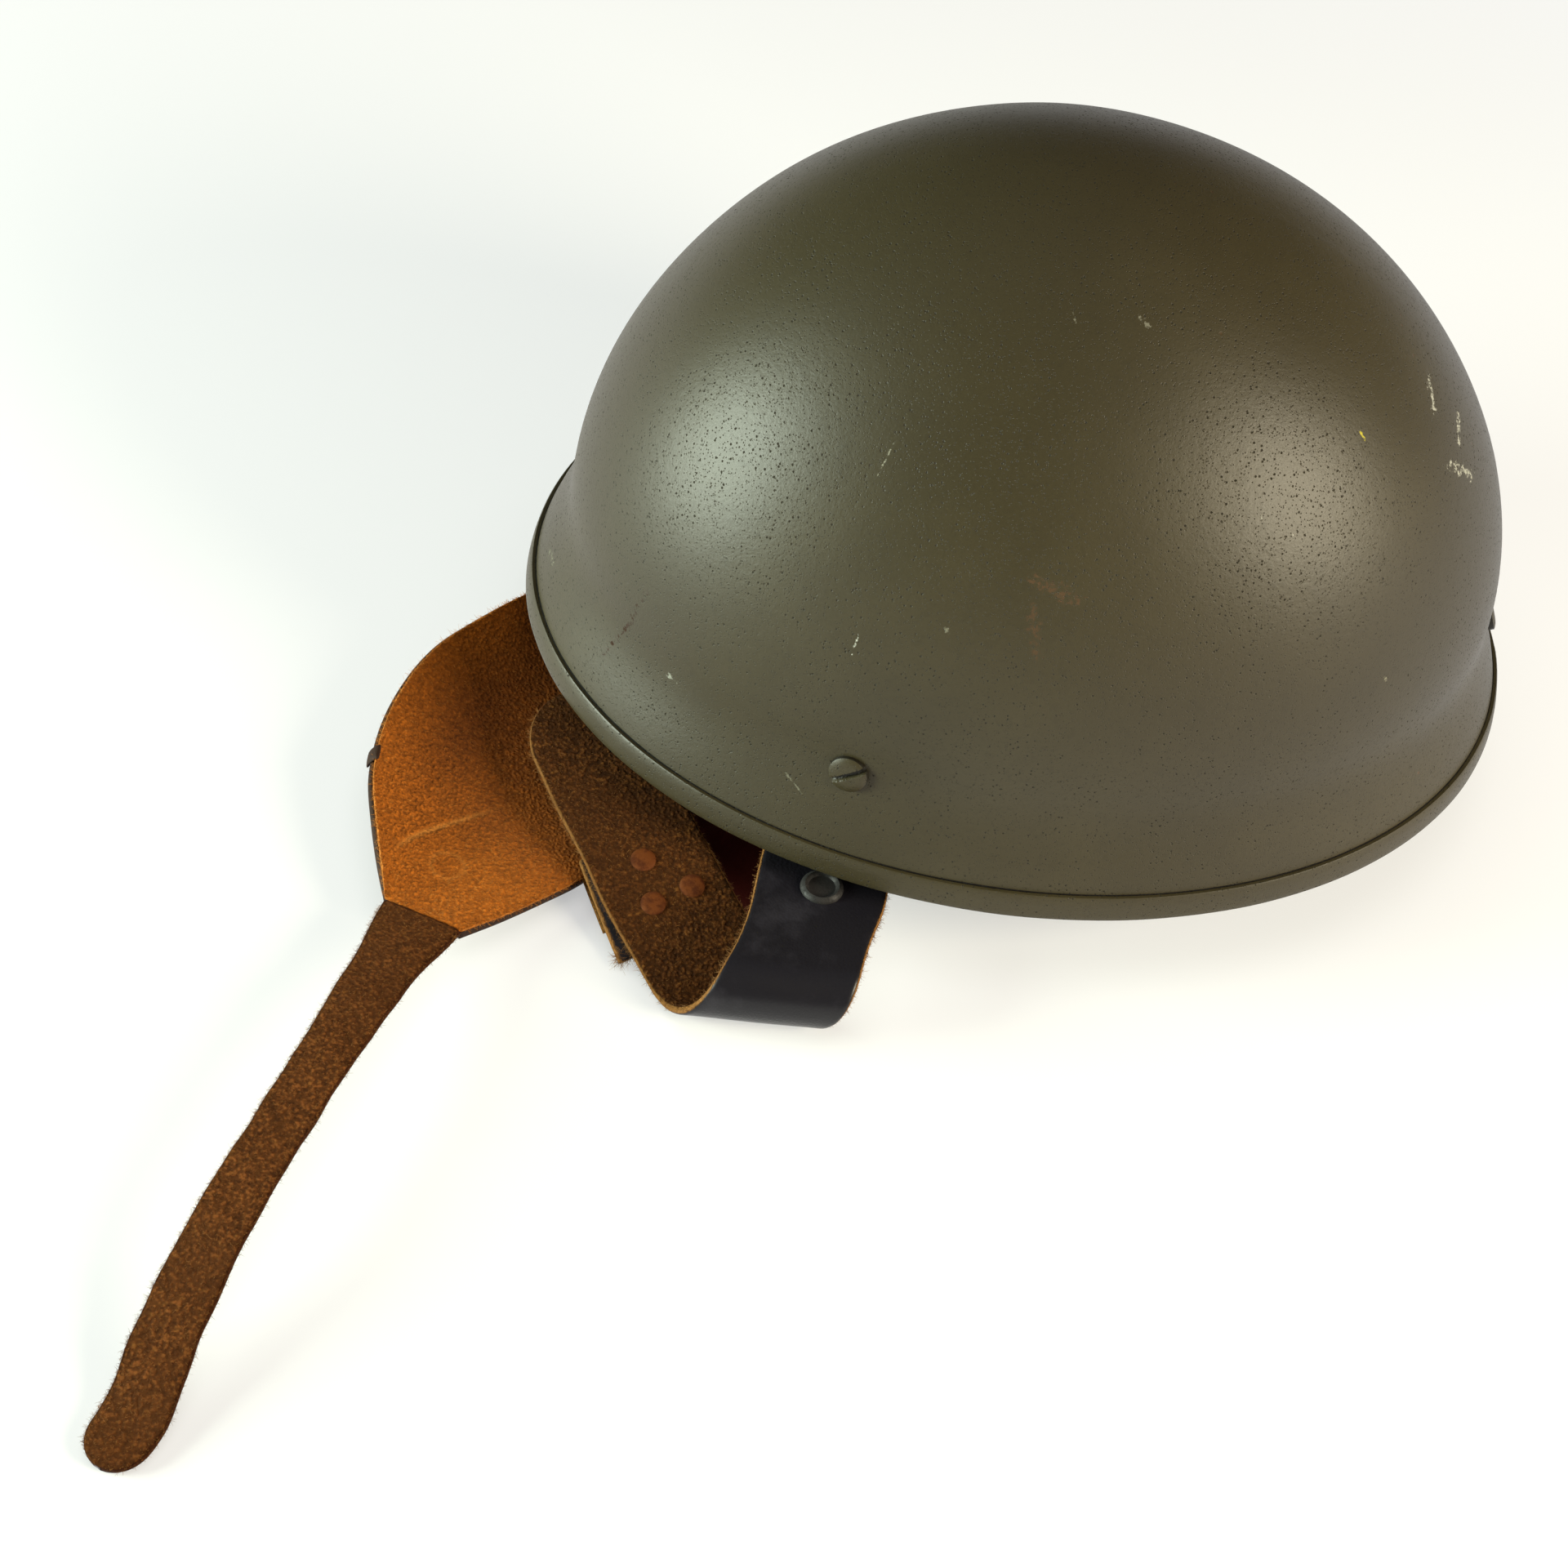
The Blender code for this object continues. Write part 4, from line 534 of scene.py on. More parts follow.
class Finish:
    """A Principled material under construction."""

    def __init__(self, name):
        self.material = bpy.data.materials.new(name + SUFFIX)
        self.material.use_nodes = True
        self.tree = self.material.node_tree
        self.shader = self.tree.nodes["Principled BSDF"]
        self.coords = self.node("ShaderNodeTexCoord", {}, output="Object")

    def node(self, kind, settings=None, *inputs, output=0, **named):
        """Adds a node: its settings first, then the values or links of its sockets."""
        made = self.tree.nodes.new(kind)
        for key, value in (settings or {}).items():
            setattr(made, key, value)
        for index, value in enumerate(inputs):
            self.feed(made.inputs[index], value)
        for key, value in named.items():
            self.feed(made.inputs[key.replace("_", " ")], value)
        return Value(self, made.outputs[output])

    def feed(self, socket, value):
        """Links a value to a socket, or sets the socket to a number or a colour; None leaves it alone."""
        if isinstance(value, Value):
            self.tree.links.new(value.socket, socket)
        elif value is not None:
            if socket.type == "RGBA" and len(value) == 3:
                value = (*value, 1.0)
            socket.default_value = value

    def math(self, operation, *inputs):
        return self.node("ShaderNodeMath", {"operation": operation}, *inputs)

    def vector_math(self, operation, *inputs, output="Vector", **named):
        return self.node("ShaderNodeVectorMath", {"operation": operation}, *inputs, output=output, **named)

    def axis(self, vector, letter):
        """One coordinate of a vector."""
        return self.node("ShaderNodeSeparateXYZ", {}, vector, output=letter)

    def noise(self, scale, detail=3.0, rough=0.5, vector=None):
        return self.node("ShaderNodeTexNoise", {}, Vector=vector or self.coords, Scale=scale, Detail=detail,
                         Roughness=rough)

    def cells(self, scale, feature="F1"):
        """Distance to the nearest of scattered points, in cells."""
        return self.node("ShaderNodeTexVoronoi", {"feature": feature}, output="Distance",
                         Vector=self.coords, Scale=scale)

    def stretched(self, scale, turn=(0.0, 0.0, 0.0)):
        return self.node("ShaderNodeMapping", {}, self.coords, None, turn, scale)

    def attribute(self, name):
        return self.node("ShaderNodeAttribute", {"attribute_name": name}, output="Fac")

    def uv(self):
        return self.node("ShaderNodeUVMap", {"uv_map": "UVMap"})

    def mix(self, factor, a, b):
        """Two colours mixed by a factor; a Mix node's colour sockets are its inputs 6 and 7, and output 2."""
        made = self.tree.nodes.new("ShaderNodeMix")
        made.data_type = "RGBA"
        self.feed(made.inputs["Factor"], factor)
        self.feed(made.inputs[6], a)
        self.feed(made.inputs[7], b)
        return Value(self, made.outputs[2])

    def mark(self, start, end, radius):
        """A mask that is 1 on the line between two points and fades to 0 at the radius."""
        line = np.array(end) - np.array(start)
        here = self.vector_math("SUBTRACT", self.coords, tuple(np.array(start) + AXIS))
        along = self.vector_math("DOT_PRODUCT", here, tuple(line / (line @ line)), output="Value")
        foot = self.vector_math("SCALE", tuple(line), Scale=along.most(0.0).least(1.0))
        away = self.vector_math("SUBTRACT", here, foot)
        return self.vector_math("LENGTH", away, output="Value").between(0.0, radius, 1.0, 0.0)

    def bump(self, height, strength, distance):
        return self.node("ShaderNodeBump", {}, Height=height, Strength=strength, Distance=distance)

    def done(self, color, roughness, normal=None, metallic=0.0, **constants):
        """The finished material; constants name further sockets of the Principled shader."""
        named = {"Base_Color": color, "Roughness": roughness, "Metallic": metallic, "Normal": normal}
        for key, value in (named | constants).items():
            self.feed(self.shader.inputs[key.replace("_", " ")], value)
        return self.material


# Finishes: each fills an empty material and returns it


def toned(color, share, lift=0.0):
    """A colour made darker or lighter: colour * share + lift."""
    return [x * share + lift for x in color]


def olive_paint(f, olive, marks):
    """Satin olive paint: dark stipple, cloudy fading, a few photographed marks, rust where it has chipped."""
    cloud = f.noise(9.0, 4.0, 0.6)
    fine = f.noise(420.0, 2.0, 0.6)
    grit = f.noise(1400.0, 2.0, 0.7)
    base = f.mix(cloud.between(0.35, 0.68), toned(olive, 0.86), toned(olive, 1.10))
    patch = f.noise(70.0, 3.0, 0.6)
    pits = f.cells(600.0).between(0.08, 0.22, 1.0, 0.0) * patch.between(0.38, 0.50)
    pricks = f.cells(1200.0).between(0.11, 0.26, 1.0, 0.0)
    speck = fine.between(0.54, 0.72) * 0.2 + grit.between(0.50, 0.72) * 0.3
    base = f.mix(speck, base, toned(olive, 0.55))
    base = f.mix((pits + pricks * 0.7).least(1.0) * 0.85, base, toned(olive, 0.22))
    chip = f.cells(150.0).between(0.04, 0.09, 1.0, 0.0) * f.noise(35.0, 2.0).between(0.60, 0.70)
    base = f.mix(chip * 0.6, base, (0.085, 0.034, 0.010))
    # Painted shade in the screws' slots and round the edges of their heads.
    base = f.mix(f.attribute("painted_screw_shade").between(0.3, 1.0), base, (0.010, 0.008, 0.004))
    ragged = f.noise(700.0, 3.0, 0.7)
    bare = 0.0
    for start, end, radius, strength, tint in marks:
        near = f.mark(start, end, radius)
        wear_and_shade = (near * 0.42 + ragged).between(0.86, 1.00) * near.between(0.0, 0.4)
        base = f.mix(wear_and_shade * strength, base, tint)
        bare = wear_and_shade * strength + bare
    rough = 0.41 + cloud.between(0.3, 0.7) * 0.04 + speck * 0.08 + pits * 0.45 + pricks * 0.3 + bare * 0.4
    height = fine * 0.45 + grit * 0.40 - chip * 0.6 - pits * 1.0 - pricks * 0.6
    return f.done(base, rough, f.bump(height, 0.6, 0.00022), Specular_IOR_Level=0.38)


def grain_leather(f, color, rough=0.42, edge_share=0.5):
    """Smooth black leather: fine pebbled grain and shallow creases, a little browner where rubbed."""
    pebbles = f.cells(1500.0, "SMOOTH_F1")
    crease = f.noise(160.0, 4.0, 0.6, f.stretched((1.0, 2.2, 1.0), (0.0, 0.0, 0.4)))
    rub = f.noise(45.0, 4.0, 0.65).between(0.52, 0.72)
    base = f.mix(rub, color, toned(color, 1.9, 0.004))
    edge = f.attribute("edge").between(0.10, 0.60)
    base = f.mix(edge * edge_share, base, (0.026, 0.011, 0.005))
    height = pebbles * 0.5 + crease * 0.9
    return f.done(base, rough + rub * 0.14 + edge * 0.25, f.bump(height, 0.4, 0.0004), Specular_IOR_Level=0.2)


def two_sided_leather(f, grain, suede, raw_edge, painted_shade_run=None):
    """Leather with a smooth grain on one side, napped suede on the other and raw fibres at its edge."""
    flesh = f.attribute("flesh").between(0.35, 0.65)
    edge = f.attribute("edge")
    pebbles = f.cells(1500.0, "SMOOTH_F1")
    crease = f.noise(170.0, 4.0, 0.6)
    rub = f.noise(55.0, 4.0, 0.65).between(0.50, 0.74)
    smooth = f.mix(rub, grain, toned(grain, 1.8, 0.004))
    nap = f.noise(1100.0, 5.0, 0.8)
    tuft = f.noise(620.0, 3.0, 0.7)
    shade = (nap * 0.55 + tuft * 0.45).between(0.38, 0.60)
    rough_side = f.mix(shade, toned(suede, 0.30), toned(suede, 1.7))
    gold = f.noise(720.0, 3.0, 0.8).between(0.53, 0.63) * tuft.between(0.42, 0.58)
    rough_side = f.mix(gold * 0.8, rough_side, (0.29, 0.112, 0.022))
    grains = f.cells(1050.0, "SMOOTH_F1").between(0.15, 0.62)
    rough_side = f.mix(grains * 0.75, rough_side, toned(suede, 0.30))
    blot = f.noise(34.0, 3.0).between(0.40, 0.66)
    rough_side = f.mix(blot * 0.45, rough_side, toned(suede, 0.45))
    # Painted shade inside the left strap's curl: the suede is darkened up to the run's start along the strip
    # and fades out by its end.
    if painted_shade_run:
        rough_side = f.mix(f.axis(f.uv(), "X").between(*painted_shade_run, 0.6, 0.0), rough_side, toned(suede, 0.3))
    base = f.mix(flesh, smooth, rough_side)
    fibre = f.noise(1200.0, 3.0, 0.7)
    raw = (edge + fibre * 0.5 - 0.25).between(0.45, 0.80)
    base = f.mix(raw * 0.85, base, raw_edge)
    rough = 0.34 + rub * 0.12 + flesh * 0.55 + raw * 0.3
    grain_height = pebbles * 0.10 + crease * 0.16
    suede_height = nap * 0.7 + tuft * 0.8 - grains * 0.5
    height = (1.0 - flesh) * grain_height + flesh * suede_height + raw * fibre
    coat = (1.0 - flesh) * (1.0 - raw) * 0.55
    return f.done(base, rough.least(1.0), f.bump(height, 1.0, 0.0012), Specular_IOR_Level=0.08,
                  Coat_Weight=coat, Coat_Roughness=0.36)


def hair(f, dark, light):
    """Single hairs of the nap, each with a tone of its own between two colours."""
    tone = f.attribute("tone")
    cloud = f.noise(60.0, 3.0).between(0.35, 0.65)
    base = f.mix(tone, dark, light)
    base = f.mix(cloud * 0.4, base, dark)
    return f.done(base, 0.9, Specular_IOR_Level=0.2)


def napped_lining(f, lining):
    """Tan napped lining, with painted shade in the cup's hollow, and a few creases."""
    nap = f.noise(1100.0, 4.0, 0.75)
    tuft = f.noise(560.0, 3.0, 0.65)
    shade = (nap * 0.6 + tuft * 0.4).between(0.36, 0.64)
    base = f.mix(shade, toned(lining, 0.45), toned(lining, 1.45))
    gold = f.noise(900.0, 3.0, 0.8).between(0.57, 0.68)
    base = f.mix(gold * 0.6, base, (0.66, 0.26, 0.045))
    grains = f.cells(1150.0, "SMOOTH_F1").between(0.15, 0.62)
    base = f.mix(grains * 0.55, base, toned(lining, 0.42))
    cloud = f.noise(26.0, 4.0, 0.6).between(0.40, 0.70)
    base = f.mix(cloud * 0.35, base, toned(lining, 0.52))
    # Painted shade: the lining is darkened in the cup's hollow and where this attribute rises across the cup.
    wear_and_shade = f.attribute("wear_and_shade")
    base = f.mix(wear_and_shade * 0.80, base, f.mix(shade, (0.045, 0.012, 0.003), (0.13, 0.034, 0.007)))
    crease = f.attribute("crease")
    base = f.mix(crease * 0.55, base, (0.62, 0.26, 0.05))
    edge = f.attribute("edge").between(0.75, 1.0)
    base = f.mix(edge * 0.5, base, (0.52, 0.20, 0.04))
    height = nap * 0.6 + tuft * 0.6 - grains * 0.5 - crease * 0.6
    return f.done(base, 0.95, f.bump(height, 1.0, 0.0007), Specular_IOR_Level=0.2)


def dull_metal(f, color, rough=0.42, dark=(0.05, 0.04, 0.035), metallic=1.0, shine=0.5):
    """Old metal: brighter on its worn faces, dark in its pits."""
    cloud = f.noise(420.0, 4.0, 0.65).between(0.38, 0.66)
    pit = f.noise(1500.0, 3.0, 0.7)
    base = f.mix(cloud * 0.75, color, dark)
    rough_map = rough + cloud * 0.25 + pit * 0.12
    return f.done(base, rough_map, f.bump(pit * 0.7 + cloud * 0.3, 0.35, 0.0003), metallic=metallic,
                  Specular_IOR_Level=shine)


def plain_rubber(f, color, rough=0.8):
    """Sponge rubber: open pores under a matt skin."""
    pores = f.cells(700.0)
    tone = f.noise(60.0, 3.0)
    base = f.mix(tone.between(0.35, 0.7), toned(color, 0.75), toned(color, 1.3))
    return f.done(base, rough, f.bump(pores.between(0.0, 0.5), 0.6, 0.0005), Specular_IOR_Level=0.15)


def fibre_board(f, color):
    """Pressed fibre board: long mottled fibres and a dull varnish."""
    fibres = f.noise(300.0, 4.0, 0.7, f.stretched((1.0, 1.0, 5.0)))
    tone = f.noise(40.0, 3.0)
    base = f.mix(fibres.between(0.35, 0.65), toned(color, 0.6), toned(color, 1.6))
    base = f.mix(tone.between(0.4, 0.7) * 0.4, base, toned(color, 0.5))
    return f.done(base, 0.5 + fibres * 0.2, f.bump(fibres, 0.4, 0.0004))


def khaki_webbing(f, webbing):
    """Woven cotton tape: warp and weft from two waves across its own UV map, in metres."""
    warp_width, weft_width = 0.0016, 0.0011
    warp = (f.axis(f.uv(), "X") * (2 * math.pi / warp_width)).sine()
    weft = (f.axis(f.uv(), "Y") * (2 * math.pi / weft_width)).sine()
    weave = (warp * weft) * 0.5 + 0.5
    tone = f.noise(70.0, 4.0, 0.6)
    base = f.mix(weave, toned(webbing, 0.55), toned(webbing, 1.25))
    base = f.mix(tone.between(0.4, 0.7) * 0.4, base, toned(webbing, 0.5))
    return f.done(base, 0.92, f.bump(weave, 0.7, 0.0004))


PALE = (0.23, 0.22, 0.16)
CHALK = (0.42, 0.42, 0.36)
RUST = (0.085, 0.036, 0.010)
CRACK = (0.026, 0.010, 0.003)
YELLOW = (0.42, 0.36, 0.03)
# Angle and height of a start and an end, radius, strength, tint
MARKS = [
    (-121.7, 0.1154, -121.7, 0.1084, 0.0008, 0.8, PALE),
    (-116.2, 0.0727, -116.2, 0.0670, 0.0010, 0.9, CHALK),
    (-151.0, 0.0213, -150.6, 0.0250, 0.0026, 0.9, CRACK),
    (-150.6, 0.0250, -149.8, 0.0288, 0.0032, 1.0, CRACK),
    (-149.8, 0.0288, -149.2, 0.0326, 0.0024, 1.0, CRACK),
    (-149.2, 0.0326, -148.0, 0.0387, 0.0030, 1.0, CRACK),
    (-148.0, 0.0387, -147.4, 0.0440, 0.0024, 0.9, CRACK),
    (-147.4, 0.0440, -146.5, 0.0512, 0.0026, 0.8, CRACK),
    (-174.2, 0.018, -171.7, 0.018, 0.0040, 0.55, PALE),
    (-139.7, 0.0315, -138.2, 0.0310, 0.0024, 0.45, CHALK),
    (-120.5, 0.0241, -117.7, 0.0204, 0.0010, 0.45, PALE),
    (-15.4, 0.1176, -20.1, 0.1130, 0.0042, 0.75, CHALK),
    (-13.6, 0.1060, -18.4, 0.1025, 0.0042, 0.75, CHALK),
    (-24.1, 0.1015, -18.6, 0.0938, 0.0046, 0.7, CHALK),
    (-41.2, 0.1200, -41.2, 0.1182, 0.0012, 1.0, YELLOW),
    (-96.9, 0.0962, -91.0, 0.0930, 0.0060, 0.6, RUST),
    (-96.4, 0.0899, -94.7, 0.0783, 0.0050, 0.5, RUST),
    (-98.4, 0.1446, -97.2, 0.1429, 0.0010, 0.7, PALE),
    (-80.7, 0.1444, -79.2, 0.1435, 0.0024, 0.6, PALE),
    (-64.9, 0.1104, -64.9, 0.1100, 0.0010, 1.0, CHALK),
    (-60.4, 0.1054, -60.4, 0.1050, 0.0008, 1.0, CHALK),
    (-57.4, 0.1073, -57.0, 0.1073, 0.0011, 1.0, CHALK),
    (-134.5, 0.0895, -134.5, 0.0892, 0.0009, 1.0, CHALK),
    (-106.2, 0.0807, -106.0, 0.0800, 0.0024, 0.5, PALE),
    (-47.9, 0.0626, -47.6, 0.0616, 0.0016, 0.7, PALE),
]


def finishes():
    """Each finish once, by name."""
    c = bpy.context.scene.helmet_finishes
    s = bpy.context.scene.helmet_sizes
    marks = [(shell_surface(s, math.radians(a), low), shell_surface(s, math.radians(b), high), *rest)
             for a, low, b, high, *rest in MARKS]
    recipes = {
        "olive_paint": (olive_paint, c.olive, marks),
        "grain_leather": (grain_leather, c.grain),
        # The last pair is the run along the strip, in metres, of painted shade on the suede inside the left
        # strap's curl.
        "strap_leather": (two_sided_leather, c.grain, c.suede, c.raw_edge, (0.050, 0.082)),
        "chin_leather": (two_sided_leather, (0.030, 0.010, 0.007), (0.165, 0.054, 0.012),
                         (0.060, 0.018, 0.007)),
        "maroon_leather": (grain_leather, (0.095, 0.016, 0.012), 0.7),
        "cup_leather": (grain_leather, c.grain, 0.48, 0.95),
        "napped_lining": (napped_lining, c.lining),
        "suede_nap": (hair, toned(c.suede, 0.8), (0.36, 0.16, 0.04)),
        "raw_fibre": (hair, (0.13, 0.050, 0.014), (0.50, 0.26, 0.09)),
        "lining_nap": (hair, toned(c.lining, 0.5), (0.72, 0.30, 0.06)),
        "copper": (dull_metal, c.copper, 0.6, (0.050, 0.012, 0.004), 0.15, 0.15),
        "dark_metal": (dull_metal, (0.022, 0.020, 0.019), 0.46, (0.008, 0.007, 0.007), 0.0, 0.3),
        "plain_steel": (dull_metal, c.steel, 0.36, (0.12, 0.11, 0.10)),
        "black_trim": (plain_rubber, (0.004, 0.003, 0.003), 0.7),
        "sponge_rubber": (plain_rubber, (0.045, 0.042, 0.040)),
        "fibre_board": (fibre_board, (0.040, 0.034, 0.028)),
        "khaki_webbing": (khaki_webbing, c.webbing),
    }
    made = {}
    for name, (recipe, *arguments) in recipes.items():
        made[name] = bpy.data.materials.get(name + SUFFIX) or recipe(Finish(name), *arguments)
    return made


def repaint(node, finish):
    """A solid that stays as the CAD draws it gets a finish of the scene."""
    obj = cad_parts[node]
    obj.data.materials.clear()
    obj.data.materials.append(finish)


# Operators


class Build(Operator):
    """Shared by the piece builders: hands them the sizes and finishes."""

    bl_options = {"REGISTER", "UNDO"}

    def execute(self, context):
        self.make(context.scene.helmet_sizes, finishes())
        return {"FINISHED"}


class HELMET_OT_shell(Build):
    """Builds the pressed steel shell"""

    bl_idname = "helmet.shell"
    bl_label = "Shell"

    def make(self, s, finish):
        """One closed profile from the edge over the crown and back inside, turned round the oval."""
        dent_depth, crowding = 0.00012, 1.9
        foot = s.band_wall + s.gap
        u = np.linspace(0, 1, 70)[:, None]
        heights = foot + (s.shell_height - foot) * (1 - (1 - u) ** crowding)
        around = circle(200)
        dents = dent_depth * ripple(around * 5, heights * 90, 3)
        dents = dents * smooth_step(heights / 0.03) * smooth_step((s.shell_height - heights) / 0.02)
        outer = shell_offset(s, around, heights, dents)
        outer[-1] = outer[-1].mean(0)
        inner = shell_offset(s, around, heights[:-1], dents[:-1] - s.wall)
        crown = outer[-1:] - np.array([0, 0, s.wall])
        grid = np.concatenate([outer, crown, inner[::-1]])
        obj = surface("shell_surface", grid, finish["olive_paint"], wrap_u=True, wrap_v=True)
        sharp(obj, 60)
        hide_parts("shell")


class HELMET_OT_rim(Build):
    """Builds the folded rim band and the black sealing strip over it"""

    bl_idname = "helmet.rim"
    bl_label = "Rim band"

    def make(self, s, finish):
        """A U section with rounded turns, carried round the shell's edge."""
        around = circle(240)[:, None]
        wall, top, lip, sag = s.band_wall, s.band_height, 0.0006, 0.0011
        outer = s.gap + wall
        inner = -(s.wall + s.gap + wall)
        mid, half = (outer + inner) / 2, (outer - inner) / 2
        foot = [(mid + half * math.cos(a), sag * (1 - math.sin(a))) for a in np.linspace(0, math.pi, 9)]
        section = [(s.gap * 0.5, top), (outer - 0.0002, top - 0.0001), (outer, top - lip), (outer, top * 0.6),
                   (outer, top * 0.3), *foot, (inner, top * 0.5), (inner, top), (inner + wall, top),
                   (inner + wall, top * 0.4), (mid, wall * 1.3), (outer - wall, top * 0.4),
                   (outer - wall, top - lip)]
        out, height = np.array(section).T
        wave = 0.00008 * ripple(around * 14, 0.0, 5)
        band = surface("rim_band_surface", shell_offset(s, around, height, out + wave),
                       finish["olive_paint"], wrap_u=True, wrap_v=True)
        sharp(band, 50)
        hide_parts("rim_band")
        low = top + s.gap * 0.2
        rise = 0.00030 + 0.00006 * ripple(around * 20, 0.0, 9)
        seal_out = np.array([0.0, 0.0001, 0.00015, 0.0001, 0.0, -0.0004, -0.0004])
        seal_up = np.array([0.0, 0.0, 0.35, 0.8, 1.0, 0.9, 0.0])
        seal = surface("rim_seal_surface", shell_offset(s, around, low + rise * seal_up, seal_out),
                       finish["black_trim"], wrap_u=True, wrap_v=True)
        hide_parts("rim_seal")


class HELMET_OT_screws(Build):
    """Builds the three slotted harness screws"""

    bl_idname = "helmet.screws"
    bl_label = "Harness screws"

    def make(self, s, finish):
        """A disc of rings whose height is a low dome, pressed down in a band across its middle."""
        turn = circle(96)
        radius = s.head_radius * np.concatenate([np.linspace(0, 0.92, 16), [0.97, 1.0]])[:, None]
        rings = len(radius)
        proud, fall, slot_depth, slot_slope, slot_easing = 0.0006, 0.0009, 0.0013, 0.0003, 0.00022
        skirt_foot, shank_share, shank_end = -0.0004, 0.4, -0.0105
        for name, node, degrees in (("left", "left_temple_screw", 37), ("right", "right_temple_screw", 40),
                                    ("nape", "nape_screw", 75)):
            x = radius * np.cos(turn)
            y = radius * np.sin(turn)
            dome = proud + s.head_height - fall * (radius / s.head_radius) ** 4 + 0 * x
            tilt = math.radians(degrees)
            off = np.abs(-x * math.sin(tilt) + y * math.cos(tilt))
            slot = smooth_step((s.slot_width / 2 + slot_easing - off) / slot_slope)
            top = np.stack([x, y, dome - slot_depth * slot], -1)
            skirt = top[-1:].copy()
            skirt[..., 2] = skirt_foot
            shank = skirt * np.array([shank_share, shank_share, 1.0])
            end = shank.copy()
            end[..., 2] = shank_end
            tip = end * np.array([0.0, 0.0, 1.0])
            grid = placed(harness_place(s, name), np.concatenate([top, skirt, shank, end, tip]))
            # Painted shade: the slot, the head's edge and its sides are marked to be darkened in the paint.
            painted_screw_shade = np.zeros(grid.shape[:2])
            painted_screw_shade[:rings] = 0.9 * slot
            painted_screw_shade[rings - 1:] = 1.0
            obj = surface(node + "_surface", grid, finish["olive_paint"], wrap_v=True,
                          attributes={"painted_screw_shade": painted_screw_shade})
            sharp(obj, 45)
            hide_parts(node)


def leather_strip(name, place, u, half, thickness, finish, body="helmet", columns=22, fuzz=0.0, seed=1,
                  grain_up=False, corner=0.5):
    """A strip with rounded edges: place(u, across, lift) gives its points; fuzz roughens its edges."""
    half = np.broadcast_to(half, u.shape)
    across, lifts, nearness, side = strip_section(thickness, float(np.median(half)), columns, corner)
    jitter = fuzz * nearness * np.random.default_rng(seed).normal(0, 1, (len(u), len(across)))
    grid = place(u[:, None], across[None, :], lifts + jitter * 0.5)
    uv = np.stack(np.broadcast_arrays(u[:, None], across * half[:, None]), -1)
    return surface(name, grid, finish, wrap_v=True, cap_u=True, uv=uv, body=body,
                   attributes={"flesh": 1 - side if grain_up else side, "edge": nearness})


def run_lengths(points):
    """Distance along a chain of points, from its first one."""
    return np.concatenate([[0], np.cumsum(np.linalg.norm(np.diff(points, axis=0), axis=1))])


def rounded(over):
    """Width share over a strip's round end: sqrt(1 - over^2), held open at the very tip."""
    return np.maximum(np.sqrt(1 - over ** 2), 0.12)


def end_rows(start, half, count):
    """Rows that crowd towards a round end: start + half sin q over a quarter turn."""
    return start + half * np.sin(np.linspace(0, math.pi / 2, count))[1:]


def swept(path, side, normal, half, across, lift):
    """Points of a strip: path + side * half * across + normal * lift."""
    return (path[:, None, :] + side[:, None, :] * (half[:, None] * across)[..., None]
            + normal[:, None, :] * lift[..., None])


def fibres(name, place, u, v, lift, finish, reach, radius, seed, body="helmet", outward=0.0, rise=0.35):
    """Short curved hairs rooted on a surface: root + direction t + curl t^2, three-sided and tapered."""
    rng = np.random.default_rng(seed)
    count = len(u)
    u, v, lift = [np.broadcast_to(values, count)[:, None] for values in (u, v, lift)]
    root = place(u, v, lift)[:, 0]
    up = unit(place(u, v, lift + TINY) - place(u, v, lift - TINY))[:, 0]
    side = unit(place(u, v, lift) - place(u, v * 0.98, lift))[:, 0]
    forward = np.cross(up, side)
    turn = rng.uniform(0, 2 * math.pi, count)[:, None]
    flat = side * np.cos(turn) + forward * np.sin(turn)
    size = reach * rng.uniform(0.5, 1.3, count)[:, None]
    lean = unit(flat + side * outward + up * rise * rng.uniform(0.2, 1.6, count)[:, None])
    curl = 0.45 * rng.normal(0, 1, (count, 3)) - 0.25 * up
    t = np.array([0.0, 0.5, 1.0])
    path = root[:, None] + size[:, None] * (lean[:, None] * t[:, None] + curl[:, None] * t[:, None] ** 2)
    first = unit(np.cross(lean, forward + 0.01))
    second = np.cross(lean, first)
    phase = circle(3)[:, None]
    ring = first[:, None, :] * np.cos(phase) + second[:, None, :] * np.sin(phase)
    taper = radius * (1 - 0.65 * t)
    points = path[:, :, None, :] + taper[:, None, None] * ring[:, None, :, :]
    tone = rng.uniform(0, 1, count)[:, None, None]
    return smooth_object(point_mesh(name, points, hair_faces(count), {"tone": tone}), finish, body)


def hair_faces(count):
    """Triangles of hairs that have three rings of three points each, with both ends closed."""
    k = np.arange(3)
    after = (k + 1) % 3
    sides = [np.stack([i * 3 + k, i * 3 + after, i * 3 + 3 + after], -1) for i in range(2)]
    sides += [np.stack([i * 3 + k, i * 3 + 3 + after, i * 3 + 3 + k], -1) for i in range(2)]
    one_hair = np.concatenate([*sides, [[0, 2, 1], [6, 7, 8]]])
    return (np.arange(count)[:, None, None] * 9 + one_hair).reshape(-1, 3).tolist()


def scattered(count, low, high, seed, edge=1.0):
    """Random places over a strip: along it from low to high, across it from -edge to edge."""
    rng = np.random.default_rng(seed)
    return rng.uniform(low, high, count), rng.uniform(-edge, edge, count)


